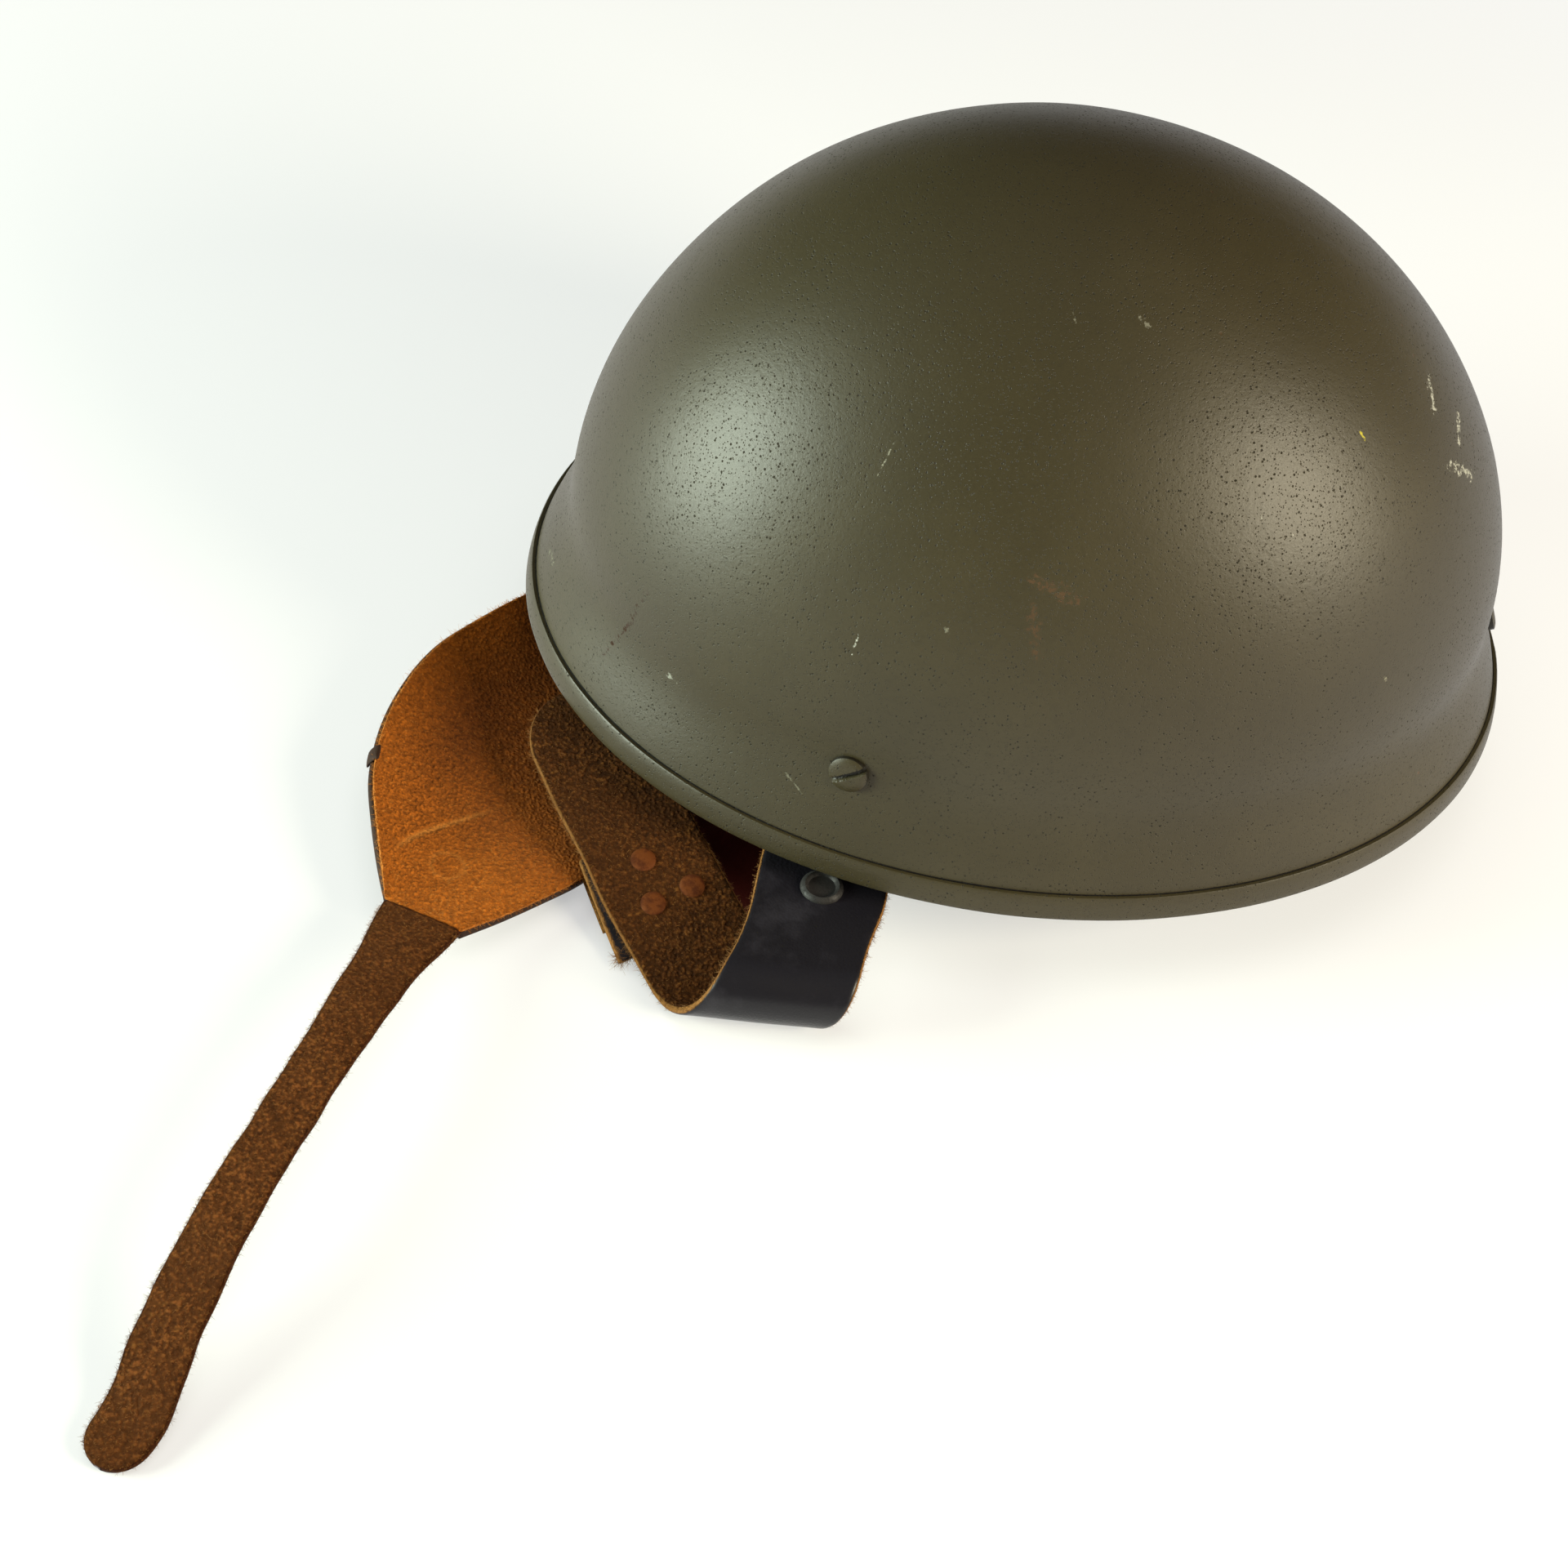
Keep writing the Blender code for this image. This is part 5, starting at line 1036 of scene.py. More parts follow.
class HELMET_OT_left_strap(Build):
    """Builds the left temple strap, its folded tab, rivets and press stud"""

    bl_idname = "helmet.left_strap"
    bl_label = "Left temple strap"

    def make(self, s, finish):
        """Strip points: across measured square to the middle line, lift square to the surface."""
        profile = left_profile(s)
        half = s.strap_width / 2
        tip_start = OUTSIDE - half

        def place(u, across, lift):
            slope = left_slope(u)
            run = np.hypot(slope, 1.0)
            width = half * rounded(np.clip((u - tip_start) / half, 0, 1))
            wobble = 0.0004 * ripple(u * 260, across * 0.5, 11)
            x = left_centre(u) + across * (width + wobble) / run
            distance = u - across * width * slope / run
            wave = 0.0005 * ripple(u * 90, across * 1.3, 4) * smooth_step(distance / 0.02)
            return left_surface(s, profile, x, distance, lift + wave)

        rows = np.concatenate([np.linspace(profile[0][0] + 0.0003, tip_start, 300),
                               end_rows(tip_start, half, 24)])
        strap = leather_strip("left_strap_leather", place, rows, half, s.strap_thickness,
                              finish["strap_leather"], columns=34, fuzz=0.0001, seed=3)
        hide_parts("left_temple_strap")
        nap_start = 0.058
        u, v = scattered(5000, nap_start, OUTSIDE, seed=51, edge=0.99)
        nap = fibres("left_strap_nap", place, u, v, s.strap_thickness / 2 - ROOT_DEPTH, finish["suede_nap"],
                     reach=0.0005, radius=0.00006, seed=52)
        u, v = scattered(2200, 0.0, OUTSIDE, seed=53)
        lift = np.random.default_rng(54).uniform(-0.6, 0.9, len(u)) * s.strap_thickness / 2
        fray = fibres("left_strap_fray", place, u, np.sign(v) * 0.995, lift, finish["raw_fibre"],
                      reach=0.0009, radius=0.00005, seed=55, outward=0.9)
        self.tab(s, profile, finish)
        self.rivets(s, profile, finish)

    def tab(self, s, profile, finish):
        """The tab follows the strap's underside, turns round the buckle's wire and runs back."""
        fold = WIRE_RADIUS + s.gap + TAB_THICKNESS / 2
        under = s.strap_thickness / 2 + s.gap + TAB_THICKNESS / 2
        route = walk([(TAB_FOLD - TAB_START, 0.0), (fold * math.pi, -math.pi), (TAB_RETURN, 0.0)],
                     (TAB_START, -under), 0.0)
        wide = s.strap_width
        taper, overhang, overhang_end, shoulder_end = 0.020, 0.0036, 0.114, 0.113

        def place(u, across, lift):
            """The tab narrows towards the wire, and on one side stands out past the strap's edge."""
            d, h, turn = along_walk(route, u)
            width = wide + (TAB_WIDTH - wide) * smooth_step((d - TAB_FOLD + taper) / taper * 1.6)
            slope = left_slope(d)
            run = np.hypot(slope, 1.0)
            beyond = overhang * np.clip((overhang_end - d) / 0.031, 0, 1)
            beyond = beyond + (wide - width) / 2 * smooth_step((shoulder_end - d) / 0.004)
            reach = across * width / 2 + np.minimum(across, 0) * beyond
            x = left_centre(d) + reach / run
            distance = d - reach * slope / run
            return left_surface(s, profile, x, distance - lift * np.sin(turn), h + lift * np.cos(turn))

        tab = leather_strip("buckle_tab_leather", place, np.linspace(0, route[0][-1], 130), TAB_WIDTH / 2,
                            TAB_THICKNESS, finish["strap_leather"], columns=24, fuzz=0.0001, seed=8,
                            grain_up=True, corner=0.9)
        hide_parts("buckle_tab")
        v, u = scattered(260, -1.0, -0.78, seed=57)
        fray = fibres("buckle_tab_fray", place, np.abs(u) * 0.0022, v, 0.0, finish["raw_fibre"],
                      reach=0.0022, radius=0.00006, seed=58, outward=0.5)

    def rivets(self, s, profile, finish):
        """Profiles of radius and height, turned round the strap's normal where each piece sits."""

        def place_at(distance, side_share, lift):
            def spot(ahead, beside):
                run = np.array(distance + ahead)
                x = left_centre(run) + side_share * s.strap_width + beside
                return left_surface(s, profile, x, run, lift)

            point = spot(0.0, 0.0)
            forward = unit(spot(TINY, 0.0) - point)
            normal = unit(np.cross(unit(spot(0.0, TINY) - point), forward))
            return point, unit(np.cross(forward, normal)), normal

        r = s.rivet_radius
        shank, stud_distance = 0.0015, 0.0098
        stack = s.strap_thickness + s.gap + TAB_THICKNESS
        head = [(0, 0.00062), (r * 0.35, 0.00061), (r * 0.70, 0.00054), (r * 0.90, 0.00036), (r, 0.0001),
                (r * 0.99, -0.0002), (shank, -0.0002), (shank, -stack), (r * 0.98, -stack - 0.0001),
                (r, -stack - 0.0004), (r * 0.7, -stack - 0.0009), (0, -stack - 0.001)]
        for number, (along, across) in enumerate([(0.653, -0.06), (0.218, -0.17), (0.430, 0.24)], 1):
            distance = TAB_START + (TAB_FOLD - TAB_START) * along
            point, side, normal = place_at(distance, across, s.strap_thickness / 2)
            obj = turned(f"buckle_rivet_{number}_head", head, frame_matrix(point, side, normal),
                         finish["copper"])
            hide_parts(f"buckle_rivet_{number}")
        point, side, normal = place_at(stud_distance, 0.0, -s.strap_thickness / 2)
        depth = -0.0034
        cap = [(0, 0.0004), (0.0012, 0.0004), (0.0030, 0.00045), (0.0036, 0.00055), (0.0040, 0.0012),
               (0.0046, 0.0015), (0.0052, 0.0012), (0.0057, 0.0006), (0.0058, 0.0001), (shank, 0.0),
               (shank, depth), (0, depth)]
        stud = turned("strap_stud_cap", cap, frame_matrix(point, side, -normal), finish["dark_metal"],
                      steps=64)
        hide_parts("strap_stud")


class HELMET_OT_cup(Build):
    """Builds the chin cup, its napped lining and its press stud"""

    bl_idname = "helmet.cup"
    bl_label = "Chin cup"

    def make(self, s, finish):
        """Cup points: the middle surface, with a lift along its normal, worked out by differences."""

        def place(u, across, lift):
            u, across, lift = np.broadcast_arrays(u, across, lift)
            inside = np.clip(across, -1 + TINY, 1 - TINY)
            low = np.clip(u, TINY, 1 - TINY)
            du = cup_surface(s, low + TINY, inside) - cup_surface(s, low - TINY, inside)
            dv = cup_surface(s, low, inside + TINY) - cup_surface(s, low, inside - TINY)
            normal = unit(np.cross(dv, du))
            normal = normal * np.sign(normal[..., 2:])
            wrinkle = 0.0004 * ripple(u * 22, across * 3.5, 21) * (1 - np.abs(across) ** 4)
            return cup_surface(s, u, across) + normal * (lift + wrinkle)[..., None]

        cup = leather_strip("chin_cup_leather", place, np.linspace(0, 1, 180), CUP_MEAN_HALF, s.cup_thickness,
                            finish["cup_leather"], body="chin_cup_body", columns=60, fuzz=0.00004, seed=5)
        cup.visible_glossy = False
        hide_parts("chin_cup")
        self.lining(s, finish, place)
        self.clip(s, finish, place)
        self.stud(s, finish, place)

    def lining(self, s, finish, place):
        """The painted shade, the fold and the stud's ring are bells, exp(-distance^2), over the cup."""
        rise = s.cup_thickness / 2 + s.gap + s.lining_thickness / 2
        across, lifts, nearness, side = strip_section(s.lining_thickness, CUP_MEAN_HALF, 90)
        narrow = 1 - 0.0002 / CUP_HALF
        uu, vv = np.broadcast_arrays(np.linspace(0, 1, 220)[:, None], across[None, :])
        nap = 0.00006 * np.random.default_rng(2).normal(0, 1, uu.shape)
        bow = 0.02 * np.sin(4 * vv)
        fold = np.exp(-((uu - 0.30 - 0.295 * (vv + 0.08) - bow) / 0.007) ** 2)
        fold = fold * np.exp(-((vv + 0.42) / 0.30) ** 4)
        centre = place(np.array(STUD_ALONG), np.array(-0.12), rise)
        away = np.linalg.norm(place(uu, vv, rise) - centre, axis=-1)
        ring = np.exp(-((away - 0.0046) / 0.0005) ** 2)
        grid = place(uu, vv * narrow, rise + lifts + nap - 0.0002 * fold - 0.00012 * ring)
        # Painted shade in the cup's hollow: two bells, and a broad darkening that rises across the cup.
        wear_and_shade = 0.9 * np.exp(-((uu - 0.44) / 0.20) ** 2 - ((vv + 0.50) / 0.36) ** 2)
        wear_and_shade = wear_and_shade + 0.30 * np.exp(-((uu - 0.70) / 0.18) ** 2 - ((vv + 0.50) / 0.50) ** 2)
        wear_and_shade = wear_and_shade + 0.5 * smooth_step((uu - 0.12) / 0.16) * smooth_step((vv + 0.42) / 0.4)
        lining = surface("chin_cup_nap", grid, finish["napped_lining"], wrap_v=True, cap_u=True,
                         body="chin_cup_body", attributes={"wear_and_shade": np.minimum(wear_and_shade, 1.0),
                                                           "crease": fold + 0.45 * ring, "edge": nearness})
        lining.visible_glossy = False
        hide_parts("chin_cup_lining")
        u, v = scattered(8000, 0.004, 0.996, seed=61, edge=0.97)
        nap = fibres("chin_cup_lining_nap", place, u, v, rise + s.lining_thickness / 2 - ROOT_DEPTH,
                     finish["lining_nap"], reach=0.0007, radius=0.00005, seed=62, body="chin_cup_body")
        u, v = scattered(3000, 0.004, 0.996, seed=63)
        lift = np.random.default_rng(64).uniform(-1, 1, len(u)) * s.lining_thickness / 2 + rise
        fray = fibres("chin_cup_lining_fray", place, u, np.sign(v) * 0.99, lift, finish["lining_nap"],
                      reach=0.0010, radius=0.00006, seed=65, body="chin_cup_body", outward=0.7)

    def clip(self, s, finish, place):
        """A thin keeper folded over the cup's edge: a U profile whose bend is half a circle."""
        wall, air, tail = 0.0005, 0.0003, -0.0006
        low = -s.cup_thickness / 2 - air
        high = s.cup_thickness / 2 + s.gap + s.lining_thickness + air
        middle, half = (low + high) / 2, (high - low) / 2
        turn = np.linspace(-math.pi / 2, math.pi / 2, 13)
        out, up = [], []
        for reach, rise in ((air, half), (air + wall, half + wall)):
            out.append(np.concatenate([[tail], reach * np.cos(turn), [tail]]))
            up.append(np.concatenate([[-rise], rise * np.sin(turn), [rise]]))
        out = np.concatenate([out[0], out[1][::-1]])
        up = middle + np.concatenate([up[0], up[1][::-1]])
        u = CLIP_ALONG + np.linspace(-CLIP_HALF, CLIP_HALF, 24)
        shrink = np.sqrt(1 - np.linspace(-0.96, 0.96, 24) ** 4)
        across = -1 - out * shrink[:, None] / (CUP_HALF * 0.86)
        obj = surface("cup_edge_clip_fold", place(u[:, None], across, up + 0 * across), finish["cup_leather"],
                      wrap_v=True, cap_u=True, body="chin_cup_body", attributes={"edge": 0.6})
        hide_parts("cup_edge_clip")

    def stud(self, s, finish, place):
        """A profile of radius and height, turned round the cup's normal on its under side."""
        u, v = np.array(STUD_ALONG), np.array(-0.09)
        point = place(u, v, -s.cup_thickness / 2)
        down = unit(point - place(u, v, s.cup_thickness / 2))
        shank, depth = 0.0015, -0.0019
        cap = [(0, 0.0016), (0.0030, 0.0016), (0.0036, 0.0018), (0.0040, 0.0025), (0.0048, 0.0027),
               (0.0056, 0.0018), (0.0058, 0.0002), (shank, 0.0002), (shank, depth), (0, depth)]
        obj = turned("cup_stud_cap", cap, frame_matrix(point, ALONG, down), finish["dark_metal"],
                     body="chin_cup_body")
        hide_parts("cup_stud")


class HELMET_OT_chin_strap(Build):
    """Builds the chin strap that arches over the table"""

    bl_idname = "helmet.chin_strap"
    bl_label = "Chin strap"

    def make(self, s, finish):
        """A strip along the route, level across, flared to the cup's seam and round at its tip."""
        round_half = s.chin_width / 2
        length_over_reach = 1.06
        route_length = STRAP_REACH_Y * length_over_reach

        def place(u, across, lift):
            flat = np.ravel(u)
            path = chin_route(flat)
            ahead = unit(chin_route(np.clip(flat + TINY, 0, 1)) - chin_route(np.clip(flat - TINY, 0, 1)))
            level = unit(np.stack([ahead[:, 1], -ahead[:, 0], 0 * flat], -1))
            ease = smooth_step(flat / 0.13)[:, None]
            side = unit(-SIDE * (1 - ease) + level * ease)
            normal = unit(np.cross(ahead, side))
            normal = normal * np.sign(normal[:, 2:])
            over = np.clip(1 - (1 - flat) * route_length / round_half, 0, 1)
            half = round_half * through(STRAP_FLARE, flat)[:, 0] * rounded(over)
            half = half + 0.00022 * ripple(flat * 40, 0.0, 31)
            curl = 0.0004 * ripple(flat[:, None] * 30, across * 1.2, 33)
            return swept(path, side, normal, half, across, lift + curl)

        tip = 1 - round_half / route_length
        u = np.concatenate([np.linspace(0.0006 / STRAP_REACH_Y, tip, 260), end_rows(tip, 1 - tip, 20)])
        strap = leather_strip("chin_strap_leather", place, u, round_half, s.strap_thickness,
                              finish["chin_leather"], body=None, columns=26, fuzz=0.00012, seed=6)
        u, v = scattered(5500, 0.01, 0.998, seed=71, edge=0.99)
        nap = fibres("chin_strap_nap", place, u, v, s.strap_thickness / 2 - ROOT_DEPTH, finish["suede_nap"],
                     reach=0.0005, radius=0.00006, seed=72, body=None)
        u, v = scattered(2400, 0.01, 0.998, seed=73)
        lift = np.random.default_rng(74).uniform(-0.5, 0.9, len(u)) * s.strap_thickness / 2
        edge = np.where(np.random.default_rng(75).uniform(0, 1, len(u)) < 0.72, 0.995, -0.995)
        fray = fibres("chin_strap_fray", place, u, edge, lift, finish["suede_nap"], reach=0.0007,
                      radius=0.00005, seed=76, body=None, outward=0.9)
        for piece in (strap, nap, fray):
            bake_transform(piece)
        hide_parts("chin_strap")


class HELMET_OT_right_strap(Build):
    """Builds the right temple strap that carries the chin cup"""

    bl_idname = "helmet.right_strap"
    bl_label = "Right temple strap"

    def make(self, s, finish):
        """A strip along a smooth curve from the screw down the wall and in to the cup's end."""
        end = cup_surface(s, np.array(1.0), np.array(0.0))
        top, foot, inset, ease_start = 0.040, 0.002, 0.0030, 0.040
        heights = np.linspace(top, foot, 8)
        around = np.array(oval_angle(s, s.temple_angle))
        depth = WALL_DEPTH + inset * smooth_step(1 - heights / s.temple_height)
        wall = shell_offset(s, around, heights, -depth)
        rim = shell_offset(s, around, np.array(0.0), -depth[-1])
        bends = end + (rim - end) * np.array([(0.96, 0.90, 0.55), (0.85, 0.74, 0.27), (0.62, 0.56, 0.12),
                                              (0.36, 0.36, 0.05)])
        knots = np.vstack([wall, bends, [end + ALONG * 0.014], [end + ALONG * 0.0006]])
        runs = run_lengths(knots)
        spots = np.linspace(0, runs[-1], 160)
        path = through(np.column_stack([runs, knots]), spots)
        tangent = shell_frame(s, around, np.array(0.0))[1]
        ease = smooth_step((spots - ease_start) / (runs[-1] - ease_start))[:, None]
        side = unit(-tangent * (1 - ease) + SIDE * ease)
        forward = unit(np.gradient(path, axis=0))
        side = unit(side - forward * (side * forward).sum(-1, keepdims=True))
        normal = unit(np.cross(side, forward))
        half = s.strap_width / 2 + (CUP_END_HALF - s.strap_width / 2) * ease[:, 0]

        def place(u, across, lift):
            return swept(path, side, normal, half, across, lift)

        strap = leather_strip("right_strap_leather", place, spots, half, s.strap_thickness,
                              finish["strap_leather"], columns=24, fuzz=0.00008, seed=12)
        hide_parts("right_temple_strap")


class HELMET_OT_liner(Build):
    """Builds the liner: band, sweatband, neck curtain, ear flap, pads and the straps over the head"""

    bl_idname = "helmet.liner"
    bl_label = "Liner"

    def make(self, s, finish):
        """The liner's pieces, and the finishes of the solids that the CAD draws well enough."""
        base = s.rim_height
        self.ring(s, "sweatband_leather", "sweatband", base + 0.003, base + 0.034,
                  -(s.liner_wall + 0.0008 + 2 * s.gap), 0.0018, finish["grain_leather"], "black_leather")
        self.ring(s, "liner_band_board", "liner_band", base + 0.006, base + 0.050, 0.0, s.liner_wall,
                  finish["fibre_board"], "fibre_board")
        self.curtain(s, finish)
        self.ear_flap(s, finish)
        self.crown_straps(s, finish)
        self.crown_pad(s, finish)
        self.pads(s, finish)
        stacks = [f"{name}_{piece}" for name in ("left", "right", "nape")
                  for piece in ("spacer", "plate", "nut")]
        for node in (*stacks, "strap_stud_back", "buckle_frame", "grip_bar"):
            repaint(node, finish["plain_steel"])
        for number in range(1, 6):
            repaint(f"curtain_rivet_{number}", finish["copper"])

    def ring(self, s, name, node, foot, top, out, thickness, material, slot):
        """A band round the liner's oval with rounded upper and lower edges."""
        across, lifts, nearness, side = strip_section(thickness, (top - foot) / 2, 16)
        z = (foot + top) / 2 + across * (top - foot) / 2
        grid = liner_point(s, circle(200)[:, None], z, out - thickness / 2 + lifts)
        obj = surface(name, grid, material, wrap_u=True, wrap_v=True, attributes={"edge": nearness})
        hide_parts(node)

    def curtain(self, s, finish):
        """The curtain hangs from the band and stands on the table; it is open at the brow."""
        sweep, thickness, half_height = math.radians(108), 0.0025, 0.0215
        around = np.linspace(-sweep, sweep, 180)[:, None]
        across, lifts, nearness, side = strip_section(thickness, half_height, 18, corner=0.25)
        top = s.rim_height + 0.017
        grid = liner_point(s, around, top / 2 + across * top / 2, s.gap + thickness / 2 + lifts)
        obj = surface("neck_curtain_leather", grid, finish["grain_leather"], wrap_v=True, cap_u=True,
                      attributes={"edge": nearness})
        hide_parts("neck_curtain")

    def ear_flap(self, s, finish):
        """The flap runs down the liner band, turns outwards and lies flat with a round tip."""
        half, middle, bend, lie, thickness = 0.0155, -0.0635, 0.0080, 0.034, 0.0020
        flare, skew, air, air_share = 0.0060, 0.25, 0.0014, 1.25
        top = s.rim_height + 0.012
        route = walk([(top - thickness - bend, 0.0), (bend * math.pi / 2, math.pi / 2), (lie, 0.0)],
                     (0.0, top), -math.pi / 2)
        lengths, spots, headings = route
        reach = spots[-1, 0]

        def place(u, across, lift):
            out, height, turn = along_walk(route, u)
            over = np.clip((out - reach + half) / half, 0, 1)
            root = middle + across * half * rounded(over)
            root = root - flare * np.clip(-across, 0, 1) * smooth_step(out / 0.006) * (1 - over ** 2)
            slant = np.hypot(1.0, s.liner_half_width * root / s.liner_half_length ** 2)
            oval = s.liner_half_width * np.sqrt(1 - (root / s.liner_half_length) ** 2)
            out = out - lift * np.sin(turn)
            y = -(oval + air * slant * air_share + out)
            wave = 0.0004 * ripple(u * 120, across * 2.0, 41) * smooth_step(out / 0.01)
            height = height + lift * np.cos(turn) + wave
            return np.stack(np.broadcast_arrays(root - skew * out, y, height), -1)

        tip = lengths[-1] - half
        u = np.concatenate([np.linspace(0, tip, 110), end_rows(tip, half, 20)])
        flap = leather_strip("ear_flap_leather", place, u, half, thickness, finish["maroon_leather"],
                             columns=20, seed=15)
        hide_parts("ear_flap")

    def crown_straps(self, s, finish):
        """Each strap is a flattened arch: reach sin(q), rise cos(q), both to the power 0.8."""
        thickness, half, power, foot, rise, air = 0.0012, 0.011, 0.8, 0.037, 0.082, 0.0004
        sag = 1 - math.sqrt(1 - (half / s.liner_half_width) ** 2)
        inset = s.liner_wall + thickness / 2 + air
        long_sag = sag * s.liner_half_length / s.liner_half_width
        across, lifts, nearness, side = strip_section(thickness, half, 14)
        q = np.linspace(-math.pi / 2, math.pi / 2, 141)
        for name, turn, drop, reach in (
            ("crown_strap_long", 0.0, 0.0, s.liner_half_length * (1 - long_sag) - inset),
            ("crown_strap_short", math.pi / 2, 0.0022, s.liner_half_width * (1 - sag) - inset),
        ):
            x = np.sign(np.sin(q)) * np.abs(np.sin(q)) ** power * reach
            z = s.rim_height + foot + (rise - drop) * np.maximum(np.cos(q), 0) ** power
            path = np.stack([x, 0 * x, z], -1)
            forward = unit(np.gradient(path, axis=0))
            normal = np.cross(forward, np.array([0.0, 1.0, 0.0]))
            local = (path[:, None, :] + normal[:, None, :] * lifts[:, None]
                     + np.array([0.0, half, 0.0]) * across[:, None])
            c, d = math.cos(turn), math.sin(turn)
            grid = local @ np.array([[c, d, 0], [-d, c, 0], [0, 0, 1]])
            uv = np.stack(np.broadcast_arrays(run_lengths(path)[:, None], across * half), -1)
            obj = surface(name + "_tape", grid, finish["khaki_webbing"], wrap_v=True, cap_u=True, uv=uv)
            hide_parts(name)

    def crown_pad(self, s, finish):
        """A round pad: flat underneath, its top the shell's inner surface less a clearance."""
        radius, clearance, foot = 0.045, 0.0009, 0.0206
        rings = np.concatenate([[1.0, 0.99, 0.97], np.linspace(0.93, 0.02, 24)])[:, None] * radius
        climb = (1 - (rings / s.dome_half) ** 2) ** (1 / s.dome_power)
        heights = s.dome_start + climb * (s.shell_height - s.dome_start)
        # The outer rings lie deeper, and the rings underneath close in, for a soft edge
        softer = np.array([0.0016, 0.0007, 0.0002] + [0.0] * 24)[:, None]
        top = shell_offset(s, circle(96), heights, -(s.wall + clearance + softer))
        under = top[:12].copy()
        under[..., 2] = s.rim_height + s.shell_height - foot
        under[0, :, 2] += 0.0014
        under[1, :, 2] += 0.0005
        middle = under[:, :, :2].mean((0, 1))
        close = np.array([1.0, 0.997, 0.985, 0.95, 0.88, 0.8, 0.7, 0.6, 0.45, 0.3, 0.15, 0.0])[:, None, None]
        under[..., :2] = middle + (under[:1, :, :2] - middle) * close
        grid = np.concatenate([top[::-1], under])
        grid[0] = grid[0].mean(0)
        obj = surface("crown_pad_rubber", grid, finish["sponge_rubber"], wrap_v=True)
        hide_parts("crown_pad")

    def pads(self, s, finish):
        """Blocks between the liner band and the shell, blended from one wall to the other."""
        sweep, middle, half_height, air, squareness = math.radians(11), 0.032, 0.012, 0.0006, 0.35
        edge = circle(40)
        ex, ez = [np.sign(wave) * np.abs(wave) ** squareness for wave in (np.cos(edge), np.sin(edge))]
        z = middle + half_height * ez
        for number, degrees in enumerate((38, 80, 154, 206, 280, 322), 1):
            turn = (math.radians(degrees) + sweep * np.linspace(-1, 1, 21))[:, None]
            inner = liner_point(s, turn, s.rim_height + z, air)
            outer = shell_offset(s, turn, z, -(s.wall + air + 0.0001))
            grid = inner + (outer - inner) * (0.5 + 0.5 * ex)[:, None]
            obj = surface(f"liner_pad_{number}_rubber", grid, finish["sponge_rubber"], wrap_v=True,
                          cap_u=True)
            sharp(obj, 50)
            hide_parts(f"liner_pad_{number}")


# Studio

# Name, place, size across, power in watts, tint and whether the gloss mirrors it
LAMPS = [
    ("left", (-1.12, -0.15, 0.24), 0.68, 30.0, (0.87, 1.0, 0.85), True),
    ("right", (1.00, -0.50, 0.60), 0.60, 22.0, (1.0, 0.91, 0.70), True),
    ("overhead", (-0.10, 0.15, 1.50), 1.5, 8.0, (1.0, 1.0, 1.0), False),
]
LAMP_AIM = Vector((0.0, 0.0, 0.06))
SKY_SEEN = 1.0
SKY_LIGHT = 0.07
FLOOR_HALF = 40.0
LENS = 67.5
FILM_WIDTH = 36.0
CAMERA_RIGHT = (0.99330655, 0.02167871, 0.11345543)
CAMERA_UP = (-0.09259812, 0.73660761, 0.66995136)
CAMERA_BACK = (-0.06904845, -0.67597283, 0.73368457)
CAMERA_PLACE = (-0.119457, -0.607350, 0.605832)


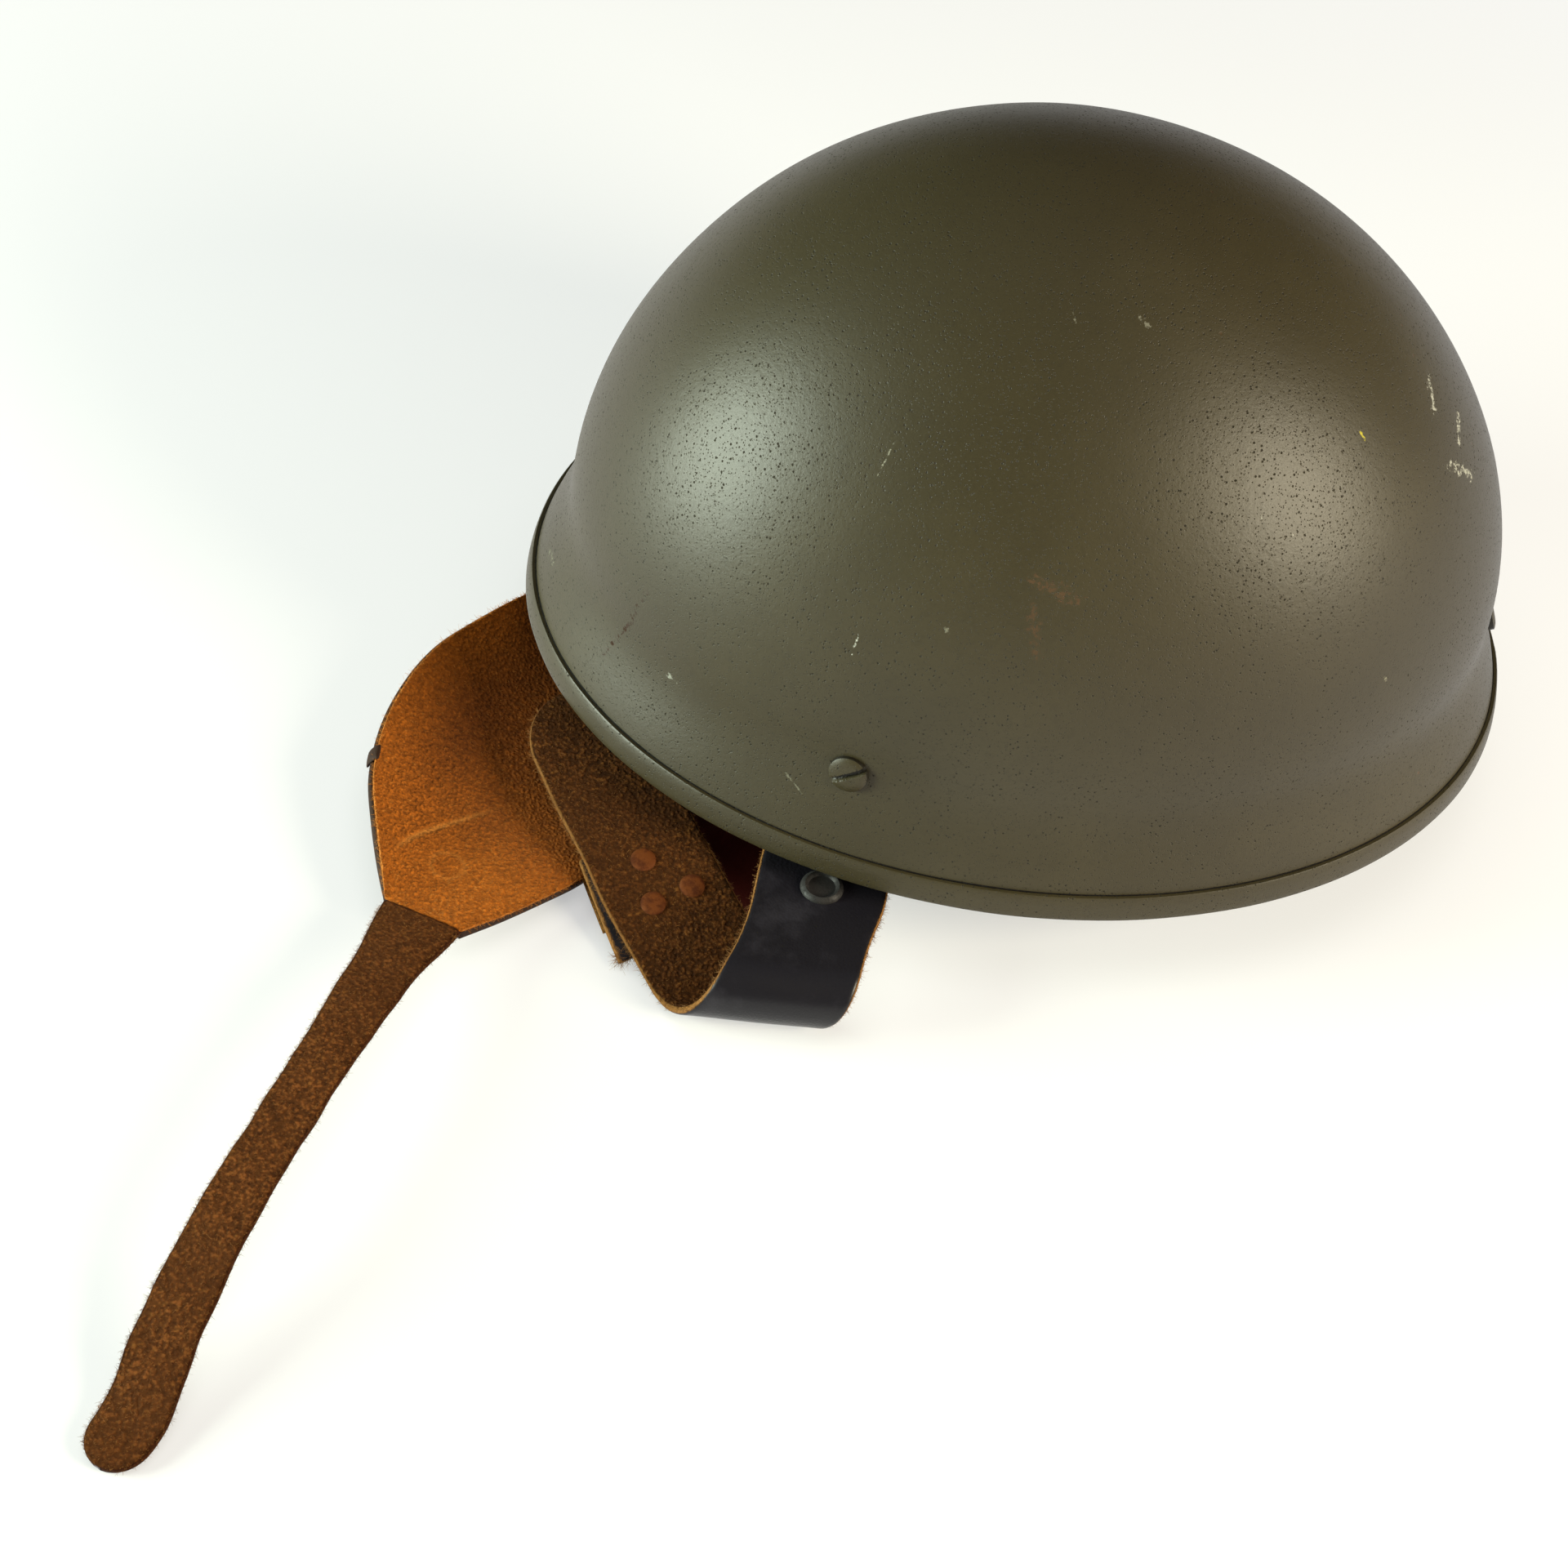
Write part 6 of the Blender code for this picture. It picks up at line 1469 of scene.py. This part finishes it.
class HELMET_OT_stage(Operator):
    """Sets the pale floor, the soft lamps and the camera"""

    bl_idname = "helmet.stage"
    bl_label = "Studio"

    def execute(self, context):
        context.scene.view_settings.view_transform = "Standard"
        self.floor(context)
        self.camera(context)
        for row in LAMPS:
            self.lamp(context, *row)
        self.sky(context)
        return {"FINISHED"}

    def sky(self, context):
        """A white sky that the camera sees at full strength and that lights the helmet only faintly."""
        world = bpy.data.worlds.new("studio")
        context.scene.world = world
        world.use_nodes = True
        tree = world.node_tree
        seen = tree.nodes.new("ShaderNodeLightPath")
        strength = tree.nodes.new("ShaderNodeMapRange")
        strength.inputs["To Min"].default_value = SKY_LIGHT
        strength.inputs["To Max"].default_value = SKY_SEEN
        tree.links.new(seen.outputs["Is Camera Ray"], strength.inputs["Value"])
        tree.nodes["Background"].inputs["Color"].default_value = (1.0, 1.0, 1.0, 1.0)
        tree.links.new(strength.outputs["Result"], tree.nodes["Background"].inputs["Strength"])

    def floor(self, context):
        """A floor that shades into plain white away from the helmet and in its sideways mirrorings."""
        corners = [(-1, -1, 0), (1, -1, 0), (1, 1, 0), (-1, 1, 0)]
        mesh = bpy.data.meshes.new("studio_floor")
        mesh.from_pydata([(x * FLOOR_HALF, y * FLOOR_HALF, z) for x, y, z in corners], [], [(0, 1, 2, 3)])
        obj = bpy.data.objects.new("studio_floor", mesh)
        context.scene.collection.objects.link(obj)
        f = Finish("studio_floor")
        f.done(context.scene.helmet_finishes.floor, 0.9)
        white = f.node("ShaderNodeEmission", {}, (1.0, 1.0, 1.0), 1.0, output="Emission")
        path = f.tree.nodes.new("ShaderNodeLightPath")
        seen = Value(f, path.outputs["Is Camera Ray"]).most(Value(f, path.outputs["Is Transmission Ray"]))
        away = f.vector_math("LENGTH", f.coords, output="Value")
        sideways = (f.axis(f.coords, "X") - AXIS[0]).absolute()
        mirrored = Value(f, path.outputs["Is Glossy Ray"]) * sideways.between(0.02, 0.16, 0.45, 1.0)
        factor = (seen * away.between(0.36, 0.90, 0.44, 1.0)).most(mirrored)
        mixed = f.node("ShaderNodeMixShader", {}, factor, Value(f, f.shader.outputs[0]), white)
        f.tree.links.new(mixed.socket, f.tree.nodes["Material Output"].inputs["Surface"])
        mesh.materials.append(f.material)

    def camera(self, context):
        """The photograph's view: its long lens, its place and its slight roll."""
        data = bpy.data.cameras.new("camera")
        data.lens = LENS
        data.sensor_width = FILM_WIDTH
        obj = bpy.data.objects.new("camera", data)
        turn = Matrix((CAMERA_RIGHT, CAMERA_UP, CAMERA_BACK)).transposed().to_4x4()
        obj.matrix_world = Matrix.Translation(Vector(CAMERA_PLACE) + Vector(AXIS)) @ turn
        context.scene.collection.objects.link(obj)
        context.scene.camera = obj

    def lamp(self, context, name, place, size, power, tint, mirrored):
        """A round soft lamp turned to the helmet."""
        data = bpy.data.lights.new(name, "AREA")
        data.shape = "DISK"
        data.size = size
        data.energy = power
        data.color = tint
        obj = bpy.data.objects.new(name, data)
        obj.visible_glossy = mirrored
        aim = LAMP_AIM - Vector(place)
        obj.matrix_world = Matrix.Translation(place) @ aim.to_track_quat("-Z", "Y").to_matrix().to_4x4()
        context.scene.collection.objects.link(obj)


PIECES = (HELMET_OT_shell, HELMET_OT_rim, HELMET_OT_screws, HELMET_OT_left_strap, HELMET_OT_cup,
          HELMET_OT_chin_strap, HELMET_OT_right_strap, HELMET_OT_liner)


class HELMET_PT_panel(Panel):
    """Lists the builders"""

    bl_label = "Helmet"
    bl_idname = "HELMET_PT_panel"
    bl_space_type = "VIEW_3D"
    bl_region_type = "UI"
    bl_category = "Helmet"

    def draw(self, context):
        for operator in (HELMET_OT_stage, *PIECES):
            self.layout.operator(operator.bl_idname)
        for group in (context.scene.helmet_sizes, context.scene.helmet_finishes):
            for name in group.__annotations__:
                self.layout.prop(group, name)


CLASSES = (HelmetSizes, HelmetFinishes, HELMET_OT_stage, *PIECES, HELMET_PT_panel)


def register():
    for cls in CLASSES:
        bpy.utils.register_class(cls)
    bpy.types.Scene.helmet_sizes = PointerProperty(type=HelmetSizes)
    bpy.types.Scene.helmet_finishes = PointerProperty(type=HelmetFinishes)


def unregister():
    del bpy.types.Scene.helmet_finishes
    del bpy.types.Scene.helmet_sizes
    for cls in reversed(CLASSES):
        bpy.utils.unregister_class(cls)


def main():
    register()
    bpy.ops.helmet.stage()
    bpy.ops.helmet.shell()
    bpy.ops.helmet.rim()
    bpy.ops.helmet.screws()
    bpy.ops.helmet.left_strap()
    bpy.ops.helmet.cup()
    bpy.ops.helmet.chin_strap()
    bpy.ops.helmet.right_strap()
    bpy.ops.helmet.liner()


if __name__ == "__main__":
    main()
